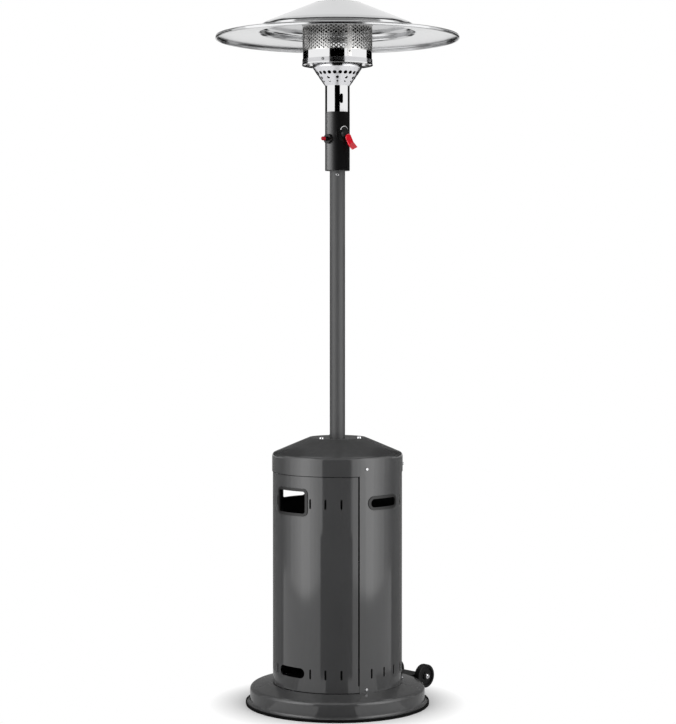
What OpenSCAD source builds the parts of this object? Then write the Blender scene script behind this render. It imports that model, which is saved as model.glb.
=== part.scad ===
// Gas patio heater: weighted base with wheels, bottle housing with a door, pole, burner and reflector
// Millimetres, +Z up, origin on the floor under the middle of the base, front at -Y

/* [Base] */
// Radius of the upright base wall
base_r = 273; // [262:1:276]
// Height of the deck that the gas bottle stands on
base_h = 68; // [66:1:74]
// Reach of the bottom lip past the base wall
base_lip = 12; // [11:0.5:15]
// Sheet thickness of the base
base_t = 2; // [1.5:0.1:2.5]
// Radius of the shoulder between deck and wall
base_round = 12; // [9:0.5:13]
// Drop of the deck from the housing to the shoulder
base_fall = 10; // [7:0.5:11]
// Radius of the flare that joins wall and lip
base_flare = 9; // [7:0.5:10]
// Height of the black trim under the lip
trim_h = 5; // [3:0.5:6]
// Width of the trim under the lip
trim_w = 9; // [7:0.5:10]
// Wall thickness of the trim that wraps round the lip
trim_wall = 1.4; // [1:0.1:1.6]

/* [Wheels] */
// Wheel diameter
wheel_d = 75; // [66:1:80]
// Width of a wheel
wheel_w = 21; // [16:1:26]
// Distance between the outer faces of the two wheels
wheel_span = 153; // [140:1:180]
// Distance of the axle behind the middle of the base
axle_back = 330; // [328:1:336]
// Height of the axle above the floor
axle_h = 45; // [42:0.5:48]
// Axle diameter
axle_d = 10; // [8:0.5:11]
// Thickness of the arm that carries the axle
bracket_t = 16; // [14:0.5:18]
// Height of the bracket's foot on the base wall
bracket_foot_h = 35; // [32:0.5:37]
// Thickness of the bracket's foot behind the base wall
bracket_foot_t = 10; // [8:0.5:12]
// Azimuth of each bracket screw from the back
bracket_az = 6.3; // [4:0.1:8]

/* [Bottle housing] */
// Outside diameter of the housing
shell_d = 403.4; // [402:0.2:405]
// Sheet thickness of shell and door
shell_t = 1.5; // [1.3:0.1:1.6]
// Height from the deck to the lower edge of the cap
housing_h = 659; // [640:1:680]
// Length of the shell that reaches up inside the cap
shell_tuck = 38; // [32:1:41]
// Half angle of the door opening
door_half = 63.9; // [62.6:0.1:64.6]
// Gap at each upright edge of the door
door_gap = 5; // [4.4:0.1:5.4]
// Gap above and below the door
door_lift = 2; // [1.6:0.1:2.4]
// Height of the tab that closes the gap at the foot of the catch edge
door_tab_h = 20; // [15:1:25]
// Number of vent slots in a full turn
vent_count = 26; // [20:2:28]
// Width of a vent slot
vent_w = 6; // [4:0.5:7]
// Height of a vent slot
vent_h = 30; // [24:1:34]
// Distance of the upper vent row's middle below the cap
vent_down = 84; // [78:1:99]
// Middle of the lower vent row above the deck
vent_lower = 57; // [54:1:62]
// Outside width of the window trim
window_w = 129; // [122:1:131]
// Outside height of the window trim
window_h = 84; // [70:1:90]
// Corner radius of the window trim
window_round = 16; // [13:1:22]
// Distance of the window's middle below the cap
window_down = 81; // [75:1:91]
// Outside width of a hand-hole trim
grip_w = 122; // [112:1:124]
// Outside height of a hand-hole trim
grip_h = 43; // [38:1:48]
// Distance of the hand-holes' middle below the cap
grip_down = 83; // [75:1:93]
// Face width of the window and hand-hole trims
trim_face = 8.5; // [7:0.5:10]
// Thickness of a trim's face
trim_t = 2.4; // [1.6:0.2:3]
// Width of the plain slot at the foot of the door
foot_slot_w = 105; // [90:1:112]
// Height of the plain slot at the foot of the door
foot_slot_h = 31; // [26:1:34]
// Azimuth of the front uprights from the front
upright_front = 71; // [70.4:0.1:71.6]
// Azimuth of the rear uprights from the front
upright_rear = 135.5; // [134:0.5:137]
// Width of an upright
upright_w = 25; // [22:0.5:26]
// Thickness of an upright
upright_t = 3; // [2.5:0.1:3.5]
// Height of the lower shell screws above the deck
low_screw_up = 9.5; // [9:0.5:12]
// Height of the upper shell screws above the cap's lower edge
top_screw_up = 21.5; // [20:0.5:24]

/* [Door hinge and catch] */
// Radius of the hinge axis from the middle of the housing
hinge_r = 189; // [187:0.5:190]
// Hinge pin diameter
hinge_pin_d = 6; // [5:0.5:7]
// Radial clearance of the door on its hinge pins
hinge_fit = 0.06; // [0.03:0.01:0.1]
// Thickness of the hinge lugs and of the hinge bracket
hinge_plate = 3; // [2.5:0.1:3.2]
// Height of the catch magnet
catch_h = 40; // [30:1:50]
// Middle of the catch above the deck
catch_up = 380; // [340:5:420]

/* [Housing cap and pole] */
// Radius of the cap's flat top
cap_top_r = 89; // [87:0.5:94]
// Rise of the cap from its lower edge to its flat top
cap_rise = 104; // [100:1:110]
// Height of the cap's upright band up to the shoulder's middle
cap_band_h = 48; // [44:0.5:50]
// Radius of the cap's shoulder
cap_round = 12; // [8:0.5:14]
// Clearance between the shell and the cap's band
cap_gap = 0.6; // [0.4:0.1:0.9]
// Sheet thickness of the cap
cap_t = 1.4; // [1.2:0.1:1.6]
// Pole diameter
pole_d = 48; // [46:0.5:50]
// Wall thickness of the pole
pole_t = 2; // [1.5:0.1:2.5]
// Height from the cap's flat top to the head
pole_show = 830.5; // [780:1:880]
// Pitch circle diameter of the flange bolts
flange_pcd = 140; // [132:1:144]
// Thickness of the pole flange
flange_t = 5; // [4:0.5:6]
// Depth of the socket under the flange
socket_deep = 60; // [50:1:66]
// Height of the pole screws under the head
pole_screw_down = 12.5; // [11:0.5:16]

/* [Control head] */
// Diameter of the control housing
head_d = 77; // [76:0.5:79]
// Height of the control housing
head_h = 180; // [172:1:190]
// Sheet thickness of the control housing
head_t = 1.2; // [1:0.1:1.5]
// Height of the gas valve above the foot of the head
valve_up = 111; // [108:1:116]
// Azimuth of the gas valve's axis from the front
valve_az = 79; // [74:1:92]
// Height of the igniter above the foot of the head
igniter_up = 96; // [92:1:100]
// Diameter of the igniter collar
collar_d = 30; // [28:0.5:32]
// Diameter of the igniter button
button_d = 14; // [13:0.5:15]
// Radius that the tip of the button reaches
button_tip = 66; // [62:0.5:70]
// Travel of the igniter button
button_travel = 6; // [4:0.5:7]
// Diameter of the knob's hub
hub_d = 28; // [26:0.5:30]
// Depth of the knob's hub
hub_deep = 7; // [6:0.5:12]
// Length of the knob's lever from the hub's axis
lever_l = 50; // [44:1:56]
// Width of the knob's lever
lever_w = 18; // [14:0.5:20]
// Angle of the lever from straight down at rest
lever_rest = 26; // [10:1:36]
// Travel of the knob when it is pressed
knob_travel = 2.5; // [2:0.1:3]
// Valve spindle diameter
spindle_d = 6; // [5:0.5:7]
// Outside diameter of the gas pipes
pipe_d = 8; // [7:0.5:9]

/* [Burner] */
// Diameter of the polished burner tube
tube_d = 77.6; // [77:0.1:78.6]
// Height of the burner tube
tube_h = 81; // [76:1:86]
// Radius of the air cone's top
cone_r = 77.7; // [74:0.5:80]
// Height of the air cone
cone_h = 56; // [52:1:60]
// Height of the slotted collar on the air cone
cone_collar = 11; // [10:0.5:13]
// Number of holes in the air cone's top row
cone_holes = 24; // [16:4:24]
// Diameter of the burner pan
pan_d = 220; // [216:1:226]
// Height of the burner pan's rim
pan_h = 14; // [13:0.5:17]
// Number of holes in the burner pan
pan_holes = 16; // [8:4:16]
// Diameter of the emitter screen
screen_d = 217; // [213:0.5:217.2]
// Height of the emitter screen
screen_h = 119.5; // [112:0.5:126]
// Columns of holes in a full turn of the screen
screen_cols = 36; // [30:2:36]
// Rows of holes in the screen
screen_rows = 7; // [5:1:7]
// Diameter of a hole in the screen
screen_hole = 6; // [4:0.5:6.5]
// Height of the screen's plain foot
screen_plain = 43; // [40:1:48]
// Azimuth of the screen's seam
seam_az = 63.2; // [60:0.2:72]

/* [Reflector] */
// Diameter of the reflector
reflector_d = 758; // [740:1:780]
// Sheet thickness of the reflector
reflector_t = 1.2; // [1:0.1:1.4]
// Height of the brim's outer edge above the burner pan
brim_up = 88; // [80:1:94]
// Height of the turned-down skirt at the brim's edge
skirt_h = 11; // [9:0.5:14]
// Radius of the rolled hem under the skirt
hem_r = 2.5; // [2.2:0.1:3]
// Rise of the brim from its edge to the crown
brim_rise = 9.5; // [6:0.5:12]
// Radius of the crown's wall
crown_r = 241; // [232:1:248]
// Height of the crown's wall up to the shoulder's middle
crown_wall = 22.5; // [18:0.5:28]
// Radius of the crown's shoulder
crown_round = 5; // [4:0.5:7]
// Radius of the crown's flat top
crown_top_r = 74; // [66:1:82]
// Rise from the shoulder's middle to the flat top
crown_rise = 70.5; // [64:0.5:76]
// Radius of the circle that the reflector spacers stand on
spacer_r = 40; // [34:1:46]
// Diameter of a reflector spacer
spacer_d = 12; // [10:0.5:14]

/* [Fits and fasteners] */
// Clearance between parts that are assembled and stay put
fit = 0.15; // [0.1:0.01:0.18]
// Radial clearance of turning and sliding parts
run_fit = 0.08; // [0.04:0.01:0.1]
// Air between parts that move past each other
air = 0.4; // [0.3:0.05:0.5]
// Thread diameter of the small screws
screw_d = 5; // [4:0.5:6]
// Thread diameter of the flange bolts
bolt_d = 8; // [6:1:9]
// Thread diameter of the gas inlet
inlet_d = 13.16; // [12.5:0.01:14]

/* [Hidden] */
$fn = 96;

// Colours as the photograph shows them
coat_grey = [0.30, 0.31, 0.33];
plastic_black = [0.07, 0.07, 0.07];
bright_steel = [0.78, 0.79, 0.80];
zinc = [0.66, 0.67, 0.69];
brass = [0.72, 0.58, 0.30];
copper = [0.72, 0.45, 0.30];
signal_red = [0.80, 0.05, 0.10];
ceramic_white = [0.92, 0.91, 0.88];

// A cutter runs this far past the face that it cuts
over = 1;
arc_steps = 8;
full_turn = 360;

// Azimuths of repeated features from the front
grip_az = 90;
bolt_az = [0, 120, 240];
pole_screw_az = [45, 225];
pan_screw_az = [21, 111, 201, 291];
spacer_az = [60, 180, 300];
slot_az = [45, 135, 225, 315];
port_az = [0, 90, 180, 270];

// Radii that the sheet thicknesses give
shell_r = shell_d / 2;
shell_in = shell_r - shell_t;
cap_in = shell_r + cap_gap;
cap_r = cap_in + cap_t;
pole_r = pole_d / 2;
pole_in = pole_r - pole_t;
head_r = head_d / 2;
head_in = head_r - head_t;
tube_r = tube_d / 2;
tube_in = tube_r - head_t;
pan_r = pan_d / 2;
screen_r = screen_d / 2;
pipe_r = pipe_d / 2;

// Heights of the stack, from the floor up
cap_z = base_h + housing_h;
cap_top = cap_z + cap_rise;
flange_top = cap_top - cap_t;
flange_z = flange_top - flange_t;
socket_z = flange_z - socket_deep;
head_z = cap_top + pole_show;
lip_t = 1.5;
head_top = head_z + lip_t + head_h;
tube_top = head_top + tube_h;
cone_top = tube_top + cone_h;
pan_z = cone_top + cone_collar;
pan_t = 1.5;
deck_z = pan_z + pan_t;
screen_top = deck_z + screen_h;
screen_t = 1;
brim_z = pan_z + brim_up;
crown_foot = brim_z + brim_rise;
crown_z = crown_foot + crown_wall;
crown_top = crown_z + crown_rise;

// Fasteners
screw_r = screw_d / 2;
screw_head_r = screw_d * 0.95;
screw_head_h = screw_d * 0.5;
nut_r = screw_d * 0.92;
nut_h = screw_d * 0.8;
bolt_r = bolt_d / 2;
bolt_head_r = bolt_d * 0.85;
bolt_head_h = bolt_d * 0.5;
bolt_nut_r = bolt_d * 0.92;
bolt_nut_h = bolt_d * 0.8;
screw_end = 3;
screw_reach = 12;
thread_deep = 15;
foot_screw_end = 6;
drive_w = 1;

// Door edges, hinge and catch
vent_upper = housing_h - vent_down;
window_up = housing_h - window_down;
grip_up = housing_h - grip_down;
vent_edge = asin((vent_w / 2 + 1) / shell_r);
half_gap = asin(door_gap / 2 / shell_r);
door_edge = door_half - half_gap;
shell_edge = door_half + half_gap;
tab_edge = shell_edge - asin(1 / shell_r);
door_z = base_h + door_lift;
door_top = cap_z - door_lift;
lug_r = hinge_pin_d / 2 + 5;
lug_room = 1;
pin_head_d = hinge_pin_d + 5;
pin_end_upper = 5;
pin_end_lower = 3;
vent_margin = 6;
deck_rim = 4.3;
hinge_az = -(door_edge - asin((lug_r + lug_room) / hinge_r));
upright_out = sqrt(pow(shell_in - fit, 2) - pow(upright_w / 2, 2)) - fit;
upright_in = upright_out - upright_t;
upright_top = cap_z + shell_tuck;
low_screw_z = base_h + low_screw_up;
top_screw_z = cap_z + top_screw_up;
foot_l = 26;
foot_screw_r = upright_in - foot_l * 0.55;
hinge_arm_z = cap_z + 1.5;
catch_z = base_h + catch_up;
strike_in = shell_in - fit - 1.4;
catch_reach = 48;
catch_t = 9;
strike_w = 16;
strike_gap = 0.6;
strike_half = catch_h * 0.4;
bracket_room = 2.5;
catch_face = sqrt(pow(strike_in - 1, 2) - pow(catch_reach, 2));

// Wheels and their bracket
axle_r = axle_d / 2;
wheel_r = wheel_d / 2;
hub_out = wheel_span / 2;
bracket_half = hub_out - wheel_w - air;
bracket_top = axle_h + bracket_t / 2;
bracket_low = bracket_top - bracket_foot_h;
bracket_screw_z = (bracket_low + bracket_top - bracket_t) / 2;
axle_cap_r = axle_r + 3;
axle_cap_h = 5;
wheel_boss_r = axle_r + 7;
wheel_rim_r = wheel_r - 9;
wheel_dish = 4;
wheel_edge = 3;
cap_crown = 3;

// Control head
valve_z = head_z + lip_t + valve_up;
igniter_z = head_z + lip_t + igniter_up;
spindle_r = spindle_d / 2;
valve_r = 13;
valve_back = -12;
valve_front = head_in - 4.3;
nose_r = spindle_r + 3;
dial_r = hub_d / 2 + 11;
dial_t = 1;
nose_end = head_r + dial_t + 2 * fit;
hub_back = nose_end + knob_travel + air;
hub_face = hub_back + hub_deep;
lever_t = 5;
lever_lift = 9;
lever_head = -lever_w * 0.1;
lever_lip = lever_l * 0.6;
lip_drop = 2;
hub_taper = 1.5;
hub_skin = 2;
spindle_back = 2;
button_r = button_d / 2;
barrel_r = button_r + 2;
collar_face = head_r + 7.5;
barrel_end = collar_face - 3;
barrel_back = valve_r + 3;
boss_r = pipe_r + 3;
boss_h = valve_r + 9;
spigot_l = 62;
spigot_t = 7;
spigot_end = 3;
collar_h = 9;
barrel_step = 1;
barrel_inset = 3;
barrel_floor = 6;
button_dome = 3;
pipe_t = 1;
inlet_hex_r = pipe_r + 5.5;
inlet_hex_h = 12;
inlet_thread_h = 14;
inlet_floor = 3;
inlet_pipe = 9;
inlet_web = 4;
flange_rim = 14;
socket_t = 5;
switch_w = 20;
switch_t = 15;
switch_h = 34;
switch_up = 40;

// Burner
jet_z = tube_top - 50;
jet_nose_r = 6;
jet_nose_h = 12;
jet_hex_r = pipe_r + 5;
jet_pipe = 8;
jet_bore_r = 1;
jet_bore_h = 40;
venturi_r = 16;
venturi_t = 1.5;
venturi_z = jet_z + 12;
venturi_rise = 8;
venturi_lip = 6;
port_w = 10;
port_h = 26;
port_up = 22;
tube_slot_az = 64;
tube_slot_w = 10;
tube_slot_h = 30;
sleeve_l = 18;
sleeve_step = 6;
cone_sleeve = 14;
cone_shares = [0.68, 0.42, 0.22];
cone_hole_d = [12, 9.5, 6.5];
cone_drill = 12;
collar_slot_w = 31;
collar_slot_h = 6;
pan_hole_d = 15;
pan_screw_l = 5;
cup_r = 50;
cup_h = 19.5;
cup_t = 1.5;
cup_ports = 24;
cup_port_r = 2;
cup_port_up = cup_h * 0.6;
pilot_out = 62;
pilot_side = 8;
lead_out = 20;
lead_side = 5;
lead_turn = tube_top + 6;
lead_bulge = 1.25;
lead_in = 6;
lead_hole = 10;
lead_foot = 8;
lead_up = 4;
pilot_lead_r = 2;
pilot_r = 5;
pilot_h = 22;
couple_lead_r = 1.8;
couple_r = 3.2;
couple_h = 26;
spark_r = 4;
spark_h = 16;
spark_pin_r = 1;
hole_ring = pan_r - 16;
cone_slope = atan2(cone_h, cone_r - tube_r);
pan_screw_z = deck_z + (pan_h - pan_t) / 2;
screen_crest = 12;
screen_pitch = (screen_h - screen_plain - screen_crest) / screen_rows;
seam_half = 7.5;
emitter_rim_h = 8;
emitter_lip = 1;
reflector_corner = 3;
reflector_fillet = 4;
hem_turn = -200;

// Points of an arc about a middle point
function arc(mid, r, from, to) = [
    for (i = [0:arc_steps])
        let (a = from + (to - from) * i / arc_steps) mid + r * [cos(a), sin(a)]
];

// Downward angle of the line from p that touches the top of a circle
function lean(p, mid, r) = atan2(p[1] - mid[1], mid[0] - p[0]) - asin(r / norm(mid - p));

// Unit vector to the right of the way from a to b
function right_of(a, b) = [b[1] - a[1], a[0] - b[0]] / norm(b - a);

// A path moved to its right by t, with mitred corners
function inset(path, t) = [
    for (i = [0:len(path) - 1])
        let (
            before = i > 0 ? right_of(path[i - 1], path[i]) : right_of(path[0], path[1]),
            after = i < len(path) - 1 ? right_of(path[i], path[i + 1]) : before
        ) path[i] + t * (before + after) / (1 + before * after)
];

// Outline of a sheet of thickness t that lies to the right of a path
function sheet(path, t) = let (back = inset(path, t)) concat(
    path, [for (i = [len(back) - 1:-1:0]) back[i]]
);

// Children with X pointing outwards at an azimuth, where 0 is the front and 90 is +X
module around(az, h = 0) {
    rotate([0, 0, az - 90]) translate([0, 0, h]) children();
}

// Round bar along X
module bar(r, from, to) {
    translate([from, 0, 0]) rotate([0, 90, 0]) cylinder(r = r, h = to - from);
}

// Flat shape pushed along X, with its own x sideways and its y up
module punch(from, to) {
    translate([from, 0, 0]) rotate([90, 0, 90]) linear_extrude(to - from) children();
}

// Ring about Z
module ring(r_out, r_in, from, to) {
    rotate_extrude() translate([r_in, from]) square([r_out - r_in, to - from]);
}

// Part of a ring between two azimuths
module ring_part(r_out, r_in, from, to, az_from, az_to) {
    rotate([0, 0, az_from - 90])
        rotate_extrude(angle = az_to - az_from)
            translate([r_in, from]) square([r_out - r_in, to - from]);
}

// Flat shape with half-round ends
module pill(w, h) {
    square([w - h, h], center = true);
    for (side = [-1, 1]) translate([side * (w - h) / 2, 0]) circle(d = h);
}

// Upright flat shape with half-round ends
module upright_pill(w, h) {
    rotate(90) pill(h, w);
}

// Rectangle with round corners
module rounded(w, h, r) {
    square([w - 2 * r, h], center = true);
    square([w, h - 2 * r], center = true);
    for (x = [-1, 1], y = [-1, 1])
        translate([x * (w / 2 - r), y * (h / 2 - r)]) circle(r = r);
}

// Flat point that turns with the gas valve
function with_valve(p) = [
    p[0] * sin(valve_az) + p[1] * cos(valve_az), p[1] * sin(valve_az) - p[0] * cos(valve_az)
];

// Round bar between two points
module strut(a, b, r) {
    way = b - a;
    translate(a)
        rotate([0, acos(way[2] / norm(way)), atan2(way[1], way[0])])
            cylinder(r = r, h = norm(way));
}

// Screw along X, its head outside the given radius
module radial_screw(seat, deep, r = screw_r, head = screw_head_r, head_h = screw_head_h) {
    bar(head, seat, seat + head_h);
    bar(r, seat - deep, seat + head_h / 2);
}

// Places for the four uprights
module at_uprights() {
    for (az = [upright_front, upright_rear, -upright_rear, -upright_front]) around(az) children();
}

// Vent slots of one row that lie between two azimuths on either side
module vents(up, from, to) {
    for (k = [0:vent_count / 2 - 1], side = [-1, 1]) {
        az = (k + 0.5) * full_turn / vent_count;
        if (az > from && az < to)
            around(side * az, base_h + up)
                punch(shell_in - over, shell_r + over) upright_pill(vent_w, vent_h);
    }
}

// Moulded trim with a face outside the sheet and a neck through its opening
module moulded_trim(az, up) {
    around(az, base_h + up)
        difference() {
            union() {
                intersection() {
                    ring(shell_r + fit + trim_t, shell_r + fit, -window_h, window_h);
                    punch(shell_r / 2, cap_r + trim_t) children(0);
                }
                intersection() {
                    ring(shell_r + fit + over, shell_in, -window_h, window_h);
                    punch(shell_r / 2, cap_r + trim_t) children(1);
                }
            }
            punch(shell_r / 2 - over, cap_r + 2 * trim_t) children(2);
        }
}

// Opening that a trim's neck goes through
module grip_opening() {
    pill(grip_w - trim_face, grip_h - trim_face);
}

module window_opening() {
    rounded(window_w - trim_face, window_h - trim_face, window_round - trim_face / 2);
}

module base_pan() {
    deck_edge = [shell_r + deck_rim, base_h];
    shoulder = [base_r - base_round, base_h - base_fall - base_round];
    flare = [base_r + base_flare, trim_h + base_t + base_flare];
    path = concat(
        [[0, base_h], deck_edge],
        arc(shoulder, base_round, 90 - lean(deck_edge, shoulder, base_round), 0),
        arc(flare, base_flare, 180, 270),
        [[base_r + base_lip, trim_h + base_t]]
    );
    color(coat_grey)
        difference() {
            rotate_extrude() polygon(sheet(path, base_t));
            at_uprights()
                translate([foot_screw_r, 0, base_h - base_t - over])
                    cylinder(r = screw_r + fit, h = base_t + 2 * over);
            around(hinge_az, base_h - base_t - over)
                translate([hinge_r, 0, 0])
                    cylinder(r = hinge_pin_d / 2 + fit, h = base_t + 2 * over);
            for (side = [-1, 1])
                around(180 + side * bracket_az, bracket_screw_z)
                    bar(screw_r + fit, base_r - base_t - over, base_r + over);
        }
}

module base_trim() {
    lip_r = base_r + base_lip + fit;
    lap_z = trim_h + base_t + fit;
    trim_in = lip_r + trim_wall - trim_w;
    color(plastic_black)
        difference() {
            ring(lip_r + trim_wall, trim_in, 0, lap_z + trim_wall);
            ring(lip_r, trim_in - over, trim_h, lap_z);
            ring(base_r + base_flare + over, trim_in - over, trim_h, lap_z + trim_wall + over);
        }
}

module wheel_bracket() {
    color(plastic_black)
        difference() {
            union() {
                translate([-bracket_half, axle_back, axle_h])
                    rotate([0, 90, 0]) cylinder(d = bracket_t, h = 2 * bracket_half);
                translate([-bracket_half, 0, bracket_top - bracket_t])
                    cube([2 * bracket_half, axle_back, bracket_t]);
                translate([-bracket_half, 0, bracket_low])
                    cube([2 * bracket_half, base_r + bracket_foot_t, bracket_foot_h]);
            }
            translate([0, 0, -over]) cylinder(r = base_r + fit, h = 2 * axle_h);
            translate([-hub_out, axle_back, axle_h])
                rotate([0, 90, 0]) cylinder(r = axle_r + fit, h = 2 * hub_out);
            for (side = [-1, 1])
                around(180 + side * bracket_az, bracket_screw_z)
                    bar(screw_r + fit, base_r - over, base_r + 2 * bracket_foot_t);
        }
}

module bracket_screws() {
    color(zinc)
        for (side = [-1, 1])
            around(180 + side * bracket_az, bracket_screw_z) {
                bar(screw_head_r, base_r - base_t - fit - screw_head_h, base_r - base_t - fit);
                bar(screw_r, base_r - base_t - screw_head_h, base_r + bracket_foot_t - screw_end);
            }
}

module wheel_axle() {
    reach = hub_out + air + axle_cap_h;
    color(zinc)
        translate([-reach, axle_back, axle_h])
            rotate([0, 90, 0]) cylinder(r = axle_r, h = 2 * reach);
}

// Wheel on the axle, on the side that the sign gives
module wheel(side) {
    inner = hub_out - wheel_w;
    color(plastic_black)
        translate([0, axle_back, axle_h])
            rotate([0, side * 90, 0])
                rotate_extrude()
                    polygon(concat(
                        [
                            [axle_r + run_fit, inner], [wheel_boss_r, inner],
                            [wheel_boss_r, inner + wheel_dish], [wheel_rim_r, inner + wheel_dish],
                            [wheel_rim_r, inner]
                        ],
                        arc([wheel_r - wheel_edge, inner + wheel_edge], wheel_edge, -90, 0),
                        arc([wheel_r - wheel_edge, hub_out - wheel_edge], wheel_edge, 0, 90),
                        [
                            [wheel_rim_r, hub_out], [wheel_rim_r, hub_out - wheel_dish],
                            [wheel_boss_r, hub_out - wheel_dish], [wheel_boss_r, hub_out],
                            [axle_r + run_fit, hub_out]
                        ]
                    ));
}

module wheel_left() {
    wheel(-1);
}

module wheel_right() {
    wheel(1);
}

module axle_caps() {
    color(bright_steel)
        for (side = [-1, 1])
            translate([0, axle_back, axle_h])
                rotate([0, side * 90, 0])
                    translate([0, 0, hub_out + air])
                        difference() {
                            union() {
                                cylinder(r = axle_cap_r, h = axle_cap_h);
                                translate([0, 0, axle_cap_h])
                                    cylinder(r1 = axle_cap_r, r2 = axle_cap_r - cap_crown, h = cap_crown);
                            }
                            translate([0, 0, -over])
                                cylinder(r = axle_r + fit, h = axle_cap_h + over + fit);
                        }
}

module housing_shell() {
    color(coat_grey)
        difference() {
            ring_part(
                shell_r, shell_in, base_h, cap_z + shell_tuck, shell_edge, full_turn - shell_edge
            );
            vents(vent_upper, grip_az + asin(grip_w / 2 / shell_r) + vent_edge, full_turn / 2);
            vents(vent_lower, upright_front + asin(upright_w / 2 / shell_in) + vent_edge, full_turn / 2);
            for (az = [grip_az, -grip_az])
                around(az, base_h + grip_up)
                    punch(shell_r / 2, shell_r + over) grip_opening();
            at_uprights()
                for (z = [low_screw_z, top_screw_z])
                    translate([0, 0, z])
                        bar(screw_r + fit, shell_in - over, shell_r + over);
        }
}

// Upright strip with a foot that is bent inwards
module upright(az) {
    color(coat_grey)
        around(az)
            difference() {
                union() {
                    translate([upright_in, -upright_w / 2, base_h])
                        cube([upright_t, upright_w, upright_top - base_h]);
                    translate([upright_out - foot_l, -upright_w / 2, base_h])
                        cube([foot_l, upright_w, upright_t]);
                }
                for (z = [low_screw_z, top_screw_z])
                    translate([0, 0, z])
                        bar(screw_r + fit, upright_in - over, upright_out + over);
                translate([foot_screw_r, 0, base_h - over])
                    cylinder(r = screw_r + fit, h = upright_t + 2 * over);
            }
}

module upright_front_left() {
    upright(-upright_front);
}

module upright_front_right() {
    upright(upright_front);
}

module upright_rear_left() {
    upright(-upright_rear);
}

module upright_rear_right() {
    upright(upright_rear);
}

module foot_screws() {
    color(zinc)
        at_uprights()
            translate([foot_screw_r, 0, base_h + upright_t]) {
                cylinder(r = screw_head_r, h = screw_head_h);
                translate([0, 0, -upright_t - base_t - foot_screw_end])
                    cylinder(r = screw_r, h = upright_t + base_t + foot_screw_end);
            }
}

module shell_screws() {
    deep = shell_r - upright_in + nut_h + 2 * over;
    color(zinc)
        at_uprights() {
            translate([0, 0, low_screw_z]) radial_screw(shell_r + fit, deep);
            translate([0, 0, top_screw_z]) radial_screw(cap_r + fit, deep + cap_r - shell_r);
        }
}

module shell_nuts() {
    color(zinc)
        at_uprights()
            for (z = [low_screw_z, top_screw_z])
                translate([upright_in - nut_h, 0, z])
                    rotate([0, 90, 0])
                        difference() {
                            cylinder(r = nut_r, h = nut_h, $fn = 6);
                            translate([0, 0, -over])
                                cylinder(r = screw_r + fit, h = nut_h + 2 * over);
                        }
}

// Trim of a hand-hole at the given azimuth
module hand_hole_trim(az) {
    color(plastic_black)
        moulded_trim(az, grip_up) {
            pill(grip_w, grip_h);
            pill(grip_w - trim_face - 2 * fit, grip_h - trim_face - 2 * fit);
            pill(grip_w - 2 * trim_face, grip_h - 2 * trim_face);
        }
}

module hand_hole_trim_left() {
    hand_hole_trim(-grip_az);
}

module hand_hole_trim_right() {
    hand_hole_trim(grip_az);
}

// Lug that carries the door on a hinge pin
module hinge_lug(z) {
    around(hinge_az, z)
        intersection() {
            union() {
                translate([hinge_r, 0, 0]) cylinder(r = lug_r, h = hinge_plate);
                translate([hinge_r, -lug_r, 0])
                    cube([shell_r - hinge_r, 2 * lug_r, hinge_plate]);
            }
            translate([0, 0, -over])
                cylinder(r = shell_r - shell_t / 2, h = hinge_plate + 2 * over);
        }
}

module door() {
    color(coat_grey)
        difference() {
            union() {
                ring_part(shell_r, shell_in, door_z, door_top, -door_edge, tab_edge);
                hinge_lug(door_z);
                hinge_lug(door_top - hinge_plate - lug_room);
            }
            ring_part(
                shell_r + over, shell_in - over, door_z + door_tab_h, door_top + over,
                door_edge, tab_edge + over
            );
            vents(vent_upper, asin(window_w / 2 / shell_r) + vent_edge, door_edge - vent_margin);
            vents(vent_lower, asin(foot_slot_w / 2 / shell_r) + vent_edge, door_edge - vent_margin);
            around(0, base_h + window_up)
                punch(shell_r / 2, shell_r + over) window_opening();
            around(0, base_h + vent_lower)
                punch(shell_r / 2, shell_r + over) pill(foot_slot_w, foot_slot_h);
            around(hinge_az, door_z - over)
                translate([hinge_r, 0, 0])
                    cylinder(r = hinge_pin_d / 2 + hinge_fit, h = door_top - door_z);
        }
}

module window_trim() {
    color(plastic_black)
        moulded_trim(0, window_up) {
            rounded(window_w, window_h, window_round);
            rounded(
                window_w - trim_face - 2 * fit, window_h - trim_face - 2 * fit,
                window_round - trim_face / 2
            );
            rounded(
                window_w - 2 * trim_face, window_h - 2 * trim_face, window_round - trim_face
            );
        }
}

module hinge_bracket() {
    turn = hinge_az + upright_front;
    pin = [hinge_r * cos(turn), hinge_r * sin(turn), 0];
    arm_in = pin[0] - lug_r;
    color(zinc)
        around(-upright_front, hinge_arm_z)
            difference() {
                union() {
                    translate([arm_in, -upright_w / 2, 0])
                        cube([2 * lug_r, pin[1] + upright_w / 2, hinge_plate]);
                    translate([arm_in, -upright_w / 2, 0])
                        cube([upright_in - arm_in, upright_w, hinge_plate]);
                    translate([upright_in - hinge_plate, -upright_w / 2, 0])
                        cube([hinge_plate, upright_w, top_screw_up - nut_r - bracket_room]);
                    translate(pin) cylinder(r = lug_r, h = hinge_plate);
                }
                translate(pin - [0, 0, over])
                    cylinder(r = hinge_pin_d / 2 + fit, h = hinge_plate + 2 * over);
            }
}

module hinge_pin_upper() {
    low = door_top - hinge_plate - pin_end_upper;
    top = hinge_arm_z + hinge_plate;
    color(zinc)
        around(hinge_az)
            translate([hinge_r, 0, 0]) {
                translate([0, 0, low]) cylinder(d = hinge_pin_d, h = top - low);
                translate([0, 0, top]) cylinder(d = pin_head_d, h = hinge_plate);
            }
}

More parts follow.
